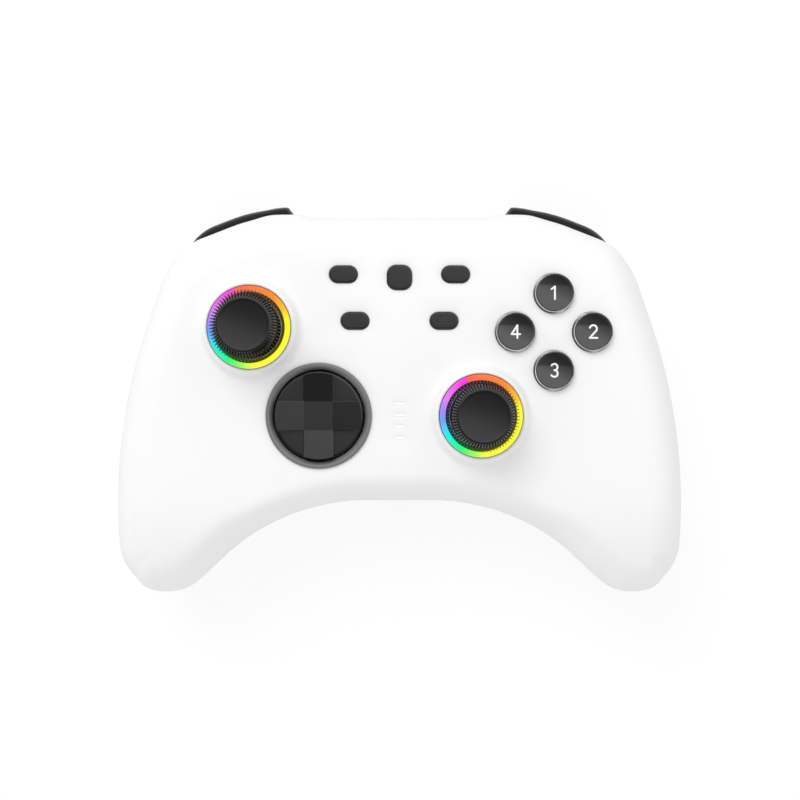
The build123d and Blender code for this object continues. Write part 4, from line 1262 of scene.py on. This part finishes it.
@dataclass
class Thumbstick:
    """One thumbstick: domed cap with a toothed flank, and the lit ring round it."""

    side: Side
    centre: Point2
    segments: int = 128
    pivot_z: float = 39.0
    dome_r: float = 10.6
    # The dome's first and last height above the pivot, in degrees, and its steps
    dome_turn: tuple[int, int, int] = (68, 20, 14)
    dish_z: float = 59.68
    dish_rise: float = 0.65
    dish_rs: tuple[float, ...] = (0.0, 1.2, 2.4, 3.5, 4.4, 5.1, 5.6, 5.9)
    rim: Profile = ((6.0, 60.42), (6.15, 60.49), (6.35, 60.5), (6.55, 60.46), (6.72, 60.33), (6.82, 60.15))
    flank: Profile = ((6.9, 59.6), (7.2, 58.8), (7.5, 57.9), (7.65, 57.2), (7.7, 56.55), (7.6, 56.3),
                      (7.3, 56.2))
    neck: Profile = ((3.7, 56.2), (3.35, 56.0), (3.2, 55.6), (3.2, 50.0), (3.3, 49.45))
    socket: Profile = ((9.3, 42.63), (8.8, 43.6), (7.3, 45.6), (5.3, 47.0), (3.3, 47.8), (1.05, 47.8),
                       (1.05, 55.0), (0.0, 55.0))
    teeth: int = 64
    tooth_half: float = 0.25
    tip_half: float = 0.06
    tooth_sink: Point2 = (0.2, 0.1)
    # Root radius, tip radius and height along one tooth
    tooth_run: tuple[Point3, ...] = (
        (6.5, 6.6, 60.3), (6.75, 7.15, 60.1), (7.0, 7.75, 59.5), (7.2, 8.25, 58.75),
        (7.45, 8.65, 57.95), (7.6, 8.85, 57.2), (7.65, 8.85, 56.65), (7.5, 8.1, 56.28))
    ring: Profile = (
        (7.95, 47.05), (7.95, 47.35), (8.85, 47.4), (8.94, 47.55), (8.94, 49.75), (9.0, 50.05),
        (9.15, 50.27), (9.4, 50.42), (9.7, 50.48), (10.0, 50.44), (10.22, 50.3), (10.38, 50.08),
        (10.45, 49.75), (10.45, 47.05))

    def cap_profile(self) -> list[Point2]:
        """The cap's section from the middle of its dish, round its dome, to its socket."""
        dish = [(r, self.dish_z + self.dish_rise * (r / self.dish_rs[-1]) ** 2) for r in self.dish_rs]
        first, last, steps = self.dome_turn
        turns = [math.radians(first + (last - first) * step / steps) for step in range(steps + 1)]
        dome = [(self.dome_r * math.cos(turn), self.pivot_z + self.dome_r * math.sin(turn)) for turn in turns]
        return [*dish, *self.rim, *self.flank, *self.neck, *dome, *self.socket]

    def tooth(self) -> Draft:
        """One tooth of the flank, drafted on the X side of the axis."""
        draft = Draft()
        inwards, downwards = self.tooth_sink
        rows = [draft.loop([(root - inwards, -self.tooth_half, z - downwards), (tip, -self.tip_half, z),
                            (tip, self.tip_half, z), (root - inwards, self.tooth_half, z - downwards)])
                for root, tip, z in self.tooth_run]
        draft.stack(rows, capped=True)
        return draft

    def build(self) -> None:
        """Places the cap, its teeth and the ring."""
        word = self.side.word
        body = f"{word}_stick"
        cap = lathe(self.cap_profile(), self.centre, self.segments).mesh(f"{body}_cap_form")
        place(cap, CAP_RUBBER, body, "stick_rubber", [f"{body}_cap"])
        teeth = repeated(self.tooth().mesh(f"{body}_tooth"), f"{body}_teeth", [self.centre] * self.teeth,
                         CAP_RUBBER, FULL_TURN / self.teeth)
        place(teeth, CAP_RUBBER, body, "stick_rubber", smooth_angle=25)
        glow = RainbowGlow(f"{word}_ring_glow", (0.02, 0.02, 0.02), 0.6, specular=0.1, grain_size=0.4,
                           grain_depth=0.003, mottle=0.05, centre=self.centre)
        place(lathe(self.ring, self.centre, self.segments).mesh(f"{word}_ring_form"), glow, "housing",
              stands_for=[f"{word}_light_ring"])


@dataclass
class DirectionPad:
    """The dished disc with its raised cross, in a grey bezel."""

    centre: Point2
    segments: int = 128
    arm_half: float = 3.85
    reach: float = 11.1
    middle_z: float = 47.1
    top_z: float = 47.9
    base_z: float = 46.0
    arc_points: int = 11
    cross_edge: float = 0.22
    cross_edge_angle: float = 25.0
    disc: Profile = ((0.0, 44.9), (11.3, 44.9), (11.3, 45.98), (11.25, 46.12), (11.12, 46.22), (10.9, 46.28),
                     (10.6, 46.28), (5.3, 46.14), (0.0, 46.0))
    bezel: Profile = (
        (11.67, 42.6), (11.67, 45.5), (11.72, 45.8), (11.9, 46.15), (12.15, 46.5), (12.4, 46.75),
        (12.65, 46.87), (12.95, 46.9), (13.2, 46.84), (13.38, 46.66), (13.48, 46.4), (13.5, 46.0),
        (12.9, 46.0), (12.9, 42.6))

    def cross(self) -> Draft:
        """The cross, flat in its middle, with arms that rise outwards.

        Returns:
            The closed form with its sharp edges.
        """
        draft = Draft()
        half, reach = self.arm_half, self.reach
        shoulder = math.sqrt(reach**2 - half**2)
        slope = (self.top_z - self.middle_z) / (reach - half)
        start = math.asin(half / reach)
        arc = [(-half, half), (-half, shoulder),
               *[(reach * math.sin(a), reach * math.cos(a))
                 for a in np.linspace(-start, start, self.arc_points)[1:-1]],
               (half, shoulder)]
        tops, bottoms, arms = [], [], []
        for quarter in range(4):
            spin = Matrix.Rotation(-quarter * QUARTER_TURN, 2)
            made = []
            for x, y in arc:
                turned = spin @ Vector((x, y))
                made.append((self.centre[0] + turned.x, self.centre[1] + turned.y,
                             self.middle_z + slope * (y - half)))
            top = draft.loop(made)
            bottoms += draft.loop([(x, y, self.base_z) for x, y, _ in made])
            tops += top
            arms.append(top)
        draft.bridge(tops, bottoms)
        draft.faces += [tuple(bottoms), tuple(arm[0] for arm in arms)]
        for arm, following in zip(arms, arms[1:] + arms[:1]):
            draft.faces.append((*arm, following[0]))
        return draft

    def build(self) -> None:
        """Places the disc, the cross and the bezel."""
        disc = lathe(self.disc, self.centre, self.segments).mesh("dpad_disc")
        place(disc, DPAD_BLACK, "dpad", "dpad_black", ["dpad_cap"], smooth_angle=35)
        cross = bevelled(self.cross().mesh("dpad_cross"), self.cross_edge, angle=self.cross_edge_angle)
        place(cross, DPAD_BLACK, "dpad", "dpad_black", smooth_angle=6)
        bezel = lathe(self.bezel, self.centre, self.segments).mesh("dpad_bezel_form")
        place(bezel, BEZEL_GREY, "housing", "bezel_grey", ["dpad_bezel"])


def arc_stroke(x: float, y: float, radius: float, start: float, end: float, step: float = 12.0) -> Profile:
    """Points along an arc, its angles and their step in degrees."""
    count = max(3, round(abs(end - start) / step))
    return tuple((x + radius * math.cos(math.radians(a)), y + radius * math.sin(math.radians(a)))
                 for a in np.linspace(start, end, count))


# Strokes of the plain numbers, in millimetres
NUMERALS: dict[int, tuple[Profile, ...]] = {
    1: (((-0.75, 0.95), (0.1, 1.6)), ((0.1, 1.6), (0.1, -1.6))),
    2: ((*arc_stroke(0.0, 0.72, 0.9, 165, -35), (-0.9, -1.6)), ((-0.9, -1.6), (1.0, -1.6))),
    3: (arc_stroke(-0.05, 0.82, 0.8, 150, -90), arc_stroke(-0.05, -0.8, 0.84, 90, -150)),
    4: (((0.4, 1.6), (-1.05, -0.65)), ((-1.05, -0.65), (1.1, -0.65)), ((0.4, 1.6), (0.4, -1.6))),
}


@dataclass
class FaceButton:
    """One round face button: chrome body, smoked dished lens and a white numeral."""

    word: str
    centre: Point2
    numeral: int
    metal: Profile = (
        (0.0, 34.5), (2.2, 34.5), (2.2, 42.7), (5.7, 42.7), (5.7, 43.7), (4.95, 43.7), (4.95, 47.35),
        (4.94, 47.5), (4.9, 47.61), (4.83, 47.66), (4.76, 47.62), (4.71, 47.52), (4.7, 47.35),
        (4.7, 46.45), (0.0, 46.45))
    lens_r: float = 4.65
    lens_edge_z: float = 47.55
    lens_middle_z: float = 47.06
    lens_side: Profile = ((0.0, 46.5), (4.65, 46.5), (4.65, 47.3), (4.64, 47.42), (4.6, 47.5), (4.52, 47.53))
    lens_rs: tuple[float, ...] = (4.42, 4.1, 3.7, 3.2, 2.6, 1.9, 1.1, 0.5)
    stroke_half: float = 0.23
    stroke_rise: float = 0.03
    stroke_step: float = 0.003
    stroke_sink: float = -0.05
    stroke_run: float = 0.3
    # Spacing of the points added across a stroke's top and foot
    stroke_spacings: Point2 = (0.4, 5.0)
    end_steps: int = 8

    def dish(self, x: float, y: float) -> float:
        """Height of the dished lens at a distance from its middle."""
        rise = self.lens_edge_z - self.lens_middle_z
        radius = (self.lens_r**2 + rise**2) / (2 * rise)
        return self.lens_middle_z + radius - math.sqrt(radius**2 - x * x - y * y)

    def stroke(self, draft: Draft, stroke: Profile, lift: float) -> None:
        """Adds one round-ended stroke that lies on the lens.

        Args:
            draft: the numeral's draft.
            stroke: its points from the lens's middle.
            lift: how far its top stands off the lens.
        """
        path = [Vector(stroke[0])]
        for point in stroke[1:]:
            run = Vector(point) - path[-1]
            steps = max(1, math.ceil(run.length / self.stroke_run))
            start = path[-1].copy()
            path += [start + run * step / steps for step in range(1, steps + 1)]
        left, right = [], []
        for index, point in enumerate(path):
            heading = path[min(index + 1, len(path) - 1)] - path[max(index - 1, 0)]
            across = Vector((-heading.y, heading.x)).normalized() * self.stroke_half
            left.append(point + across)
            right.append(point - across)
        ring = []
        for end, near in ((path[-1], left), (path[0], right[::-1])):
            ring += [tuple(p) for p in near]
            for step in range(1, self.end_steps):
                turned = near[-1] - end
                turned.rotate(Matrix.Rotation(-math.pi * step / self.end_steps, 2))
                ring.append(tuple(end + turned))
        cx, cy = self.centre
        rows = []
        for rise, spacing in zip((lift, self.stroke_sink), self.stroke_spacings):
            def height(x: float, y: float, rise: float = rise) -> float:
                """Height of one side of the stroke."""
                return self.dish(x - cx, y - cy) + rise
            rows.append((draft.loop([(cx + x, cy + y) for x, y in ring], height), height, spacing))
        draft.bridge(rows[0][0], rows[1][0])
        for row, height, spacing in rows:
            draft.fill(row, [], height, spacing)

    def build(self) -> None:
        """Places the body, the lens and the numeral."""
        body = f"face_button_{self.word}"
        place(lathe(self.metal, self.centre).mesh(f"{body}_metal"), CHROME, body, "button_chrome", [body])
        lens = [*self.lens_side, *[(r, self.dish(r, 0)) for r in self.lens_rs], (0.0, self.lens_middle_z)]
        place(lathe(lens, self.centre).mesh(f"face_lens_{self.word}_dome"), LENS_SMOKE, body, "lens_smoke",
              [f"face_lens_{self.word}"])
        draft = Draft()
        for count, stroke in enumerate(NUMERALS[self.numeral]):
            self.stroke(draft, stroke, self.stroke_rise + self.stroke_step * count)
        place(draft.mesh(f"{body}_numeral"), LEGEND_WHITE, body)


@dataclass
class FunctionButton:
    """A small grey button with a rounded edge, and a faint mark on one of them."""

    name: str
    shape: Opening
    marked: bool = False
    top_z: float = 46.7
    # How far the side stands out of the shape, and its height
    side: Profile = ((0.6, 42.9), (0.6, 43.7), (0.0, 43.7), (0.0, 46.35), (-0.03, 46.5), (-0.12, 46.62),
                     (-0.26, 46.69), (-0.5, 46.7))
    stem_half: float = 1.0
    stem_zs: Point2 = (34.5, 42.9)
    mark_rows: tuple[float, ...] = (-0.62, 0.0, 0.62)
    mark_half: Point2 = (0.9, 0.12)
    mark_sink: float = 0.1
    mark_rise: float = 0.012

    def build(self) -> None:
        """Places the button and its mark."""
        draft = Draft()
        draft.stack([draft.loop(self.shape.ring(out), z) for out, z in self.side], capped=True)
        draft.join(prism(bar(self.shape.centre, self.stem_half, self.stem_half), *self.stem_zs))
        place(draft.mesh(f"{self.name}_form"), BUTTON_GREY, self.name, "button_grey", [self.name],
              smooth_angle=35)
        if self.marked:
            mark = Draft()
            x, y = self.shape.centre
            for row in self.mark_rows:
                mark.join(prism(bar((x, y + row), *self.mark_half), self.top_z - self.mark_sink,
                                self.top_z + self.mark_rise))
            place(mark.mesh(f"{self.name}_mark"), ICON_DARK, self.name, smooth_angle=30)


@dataclass
class ContactSheet:
    """A silicone sheet whose contacts stand as low as the pressed stems come."""

    node: str
    contact_top_z: float

    def build(self) -> None:
        """Places the sheet."""
        data = copied(self.node, f"{self.node}_pads")
        for vertex in data.vertices:
            vertex.co.z = min(vertex.co.z, self.contact_top_z * MM)
        place(data, CONTACT_RUBBER, "housing", "contact_rubber", [self.node], smooth_angle=30)


@dataclass
class ChargingSocket:
    """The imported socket, set a little behind the shell's rounded edge."""

    recess: float = 0.45
    mouth_from_y: float = 46.5

    def build(self) -> None:
        """Places the socket."""
        data = copied("usb_c_port", "usb_c_port_shell")
        for vertex in data.vertices:
            vertex.co.y -= self.recess * MM * (vertex.co.y > self.mouth_from_y * MM)
        place(data, PORT_NICKEL, "housing", "port_steel", ["usb_c_port"], smooth_angle=30)


@dataclass
class CaseScrews:
    """The five recessed screws of the belly."""

    places: tuple[Point2, ...]
    section: Profile = (
        (0.0, 6.0), (2.2, 6.0), (2.55, 6.12), (2.75, 6.4), (2.8, 6.7), (2.8, 7.8), (1.4, 7.8), (1.4, 27.2),
        (1.1, 27.5), (0.0, 27.5))
    segments: int = 48
    cross_zs: Point2 = (5.5, 6.9)
    cross_reach: float = 1.4
    cross_half: float = 0.28

    def build(self) -> None:
        """Places all the screws as one piece."""
        reach, half = self.cross_reach, self.cross_half
        corners = [(-reach, -half), (-half, -half), (-half, -reach),
                   (half, -reach), (half, -half), (reach, -half)]
        corners += [(-x, -y) for x, y in corners]
        blank = lathe(self.section, (0.0, 0.0), self.segments).mesh("screw_unit")
        unit = carved(blank, [prism(corners, *self.cross_zs)])
        data = repeated(unit, "case_screws_form", self.places, SCREW_STEEL)
        place(data, SCREW_STEEL, "housing", "screw_steel", ["case_screws"], smooth_angle=30)


@dataclass
class Gamepad:
    """The whole controller."""

    plan: HousingPlan = field(default_factory=HousingPlan)
    controls: Controls = field(default_factory=Controls)

    def build(self) -> None:
        """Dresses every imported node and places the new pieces."""
        self.dress_nodes()
        FrontShell(self.plan, self.controls).build()
        RearShell(self.plan, self.controls).build()
        for side in Side:
            Bumper(side, self.plan).build()
            Trigger(side).build()
            Thumbstick(side, self.controls.sticks[side]).build()
        DirectionPad(self.controls.dpad).build()
        for numeral, (word, centre) in enumerate(self.controls.face_places().items(), start=1):
            FaceButton(word, centre, numeral).build()
        for name, shape in self.controls.function_shapes().items():
            FunctionButton(name, shape, marked=name == "lower_right_button").build()
        CaseScrews(self.controls.case_screws).build()
        ChargingSocket().build()
        ContactSheet("face_contact_sheet", contact_top_z=33.25).build()
        ContactSheet("function_contact_sheet", contact_top_z=33.85).build()

    def dress_nodes(self) -> None:
        """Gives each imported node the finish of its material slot."""
        slots = {entry["node"]: entry["material_slot"] for entry in frame["record"]["subparts"]}
        for name, piece in frame["nodes"].items():
            for holder in piece.material_slots:
                holder.material = SLOT_FINISHES[slots[name]].material()


# Studio

@dataclass(frozen=True)
class Softbox:
    """A bright panel over the controller, which lights it but isn't mirrored in it."""

    name: str
    place_m: Point3
    size_m: Point2
    watts: float
    aim_m: Point3 = (0.0, 0.0, 0.03)

    def build(self) -> None:
        """Adds the panel."""
        data = bpy.data.lights.new(self.name, "AREA")
        data.shape = "RECTANGLE"
        data.size, data.size_y = self.size_m
        data.energy = self.watts
        panel = linked(self.name, data)
        panel.location = self.place_m
        panel.rotation_euler = (Vector(self.place_m) - Vector(self.aim_m)).to_track_quat("Z", "Y").to_euler()
        panel.visible_glossy = False
        panel.visible_camera = False


@dataclass
class Studio:
    """White sweep, soft light and the camera straight above."""

    camera_m: Point3 = (0.00013, 0.0, 0.328)
    lens_mm: float = 50.0
    sensor_mm: float = 36.0
    sky: float = 0.83
    # Sky seen in reflections: its level straight up, and what it gains to the right and to the back
    mirrored_sky: Point3 = (0.62, 1.3, 2.6)
    mirrored_range: Point2 = (0.05, 1.25)
    # Where the sky darkens towards the front, and how much of it is left there
    shade_edge: Point2 = (-0.085, -0.055)
    shade_share: float = 0.4
    key: Softbox = Softbox("key_panel", (-0.28, 0.5, 0.75), (0.5, 0.5), 2.7)
    floor_reach_m: float = 4.0
    floor_grey: float = 0.25
    # The floor's own light on the controller, and as the camera sees it
    floor_glow: Point2 = (0.6, 0.76)

    def build(self) -> None:
        """Adds world, floor, light and camera."""
        self.world()
        self.floor()
        self.key.build()
        lens = bpy.data.cameras.new("camera")
        lens.lens = self.lens_mm
        lens.sensor_width = self.sensor_mm
        camera = linked("camera", lens)
        camera.location = self.camera_m
        bpy.context.scene.camera = camera
        bpy.context.scene.view_settings.view_transform = "Standard"

    def world(self) -> None:
        """A white sky that lights softly and looks plain white."""
        world = bpy.data.worlds.new("studio")
        world.use_nodes = True
        wiring = Wiring(world.node_tree)
        rays = wiring.add("ShaderNodeLightPath").outputs
        way = wiring.add("ShaderNodeTexCoord").outputs["Generated"]
        parts = wiring.add("ShaderNodeSeparateXYZ", {"Vector": way}).outputs
        level, right, back = self.mirrored_sky
        across = wiring.math("MULTIPLY_ADD", parts["X"], right, level)
        along = wiring.math("MULTIPLY_ADD", parts["Y"], back, across)
        front = wiring.spread(parts["Y"], self.shade_edge, (self.shade_share, 1.0))
        low, high = self.mirrored_range
        held = wiring.add("ShaderNodeClamp", {
            "Value": wiring.math("MULTIPLY", along, front), "Min": low, "Max": high}).outputs["Result"]
        mirrored = wiring.blend(rays["Is Glossy Ray"], self.sky, held)
        wiring.feed(world.node_tree.nodes["Background"], {
            "Color": (1, 1, 1, 1), "Strength": wiring.blend(rays["Is Camera Ray"], mirrored, 1.0)})
        bpy.context.scene.world = world

    def floor(self) -> None:
        """A pale table that keeps the controller's shadow."""
        data = bpy.data.meshes.new("floor")
        corners = bar((0.0, 0.0), self.floor_reach_m, self.floor_reach_m)
        data.from_pydata([(x, y, 0) for x, y in corners], [], [(0, 1, 2, 3)])
        finish = bpy.data.materials.new("floor_white")
        finish.use_nodes = True
        wiring = Wiring(finish.node_tree)
        rays = wiring.add("ShaderNodeLightPath").outputs
        seen = wiring.math("MAXIMUM", rays["Is Camera Ray"], rays["Is Transmission Ray"])
        wiring.feed(finish.node_tree.nodes["Principled BSDF"], {
            "Base Color": (self.floor_grey, self.floor_grey, self.floor_grey, 1), "Roughness": 1.0,
            "Specular IOR Level": 0.0, "Emission Color": (1, 1, 1, 1),
            "Emission Strength": wiring.spread(seen, (0, 1), self.floor_glow)})
        data.materials.append(finish)
        linked("floor", data)


def main() -> None:
    """Builds the controller and its studio."""
    logging.basicConfig(level=logging.INFO)
    Gamepad().build()
    Studio().build()


if __name__ == "__main__":
    main()
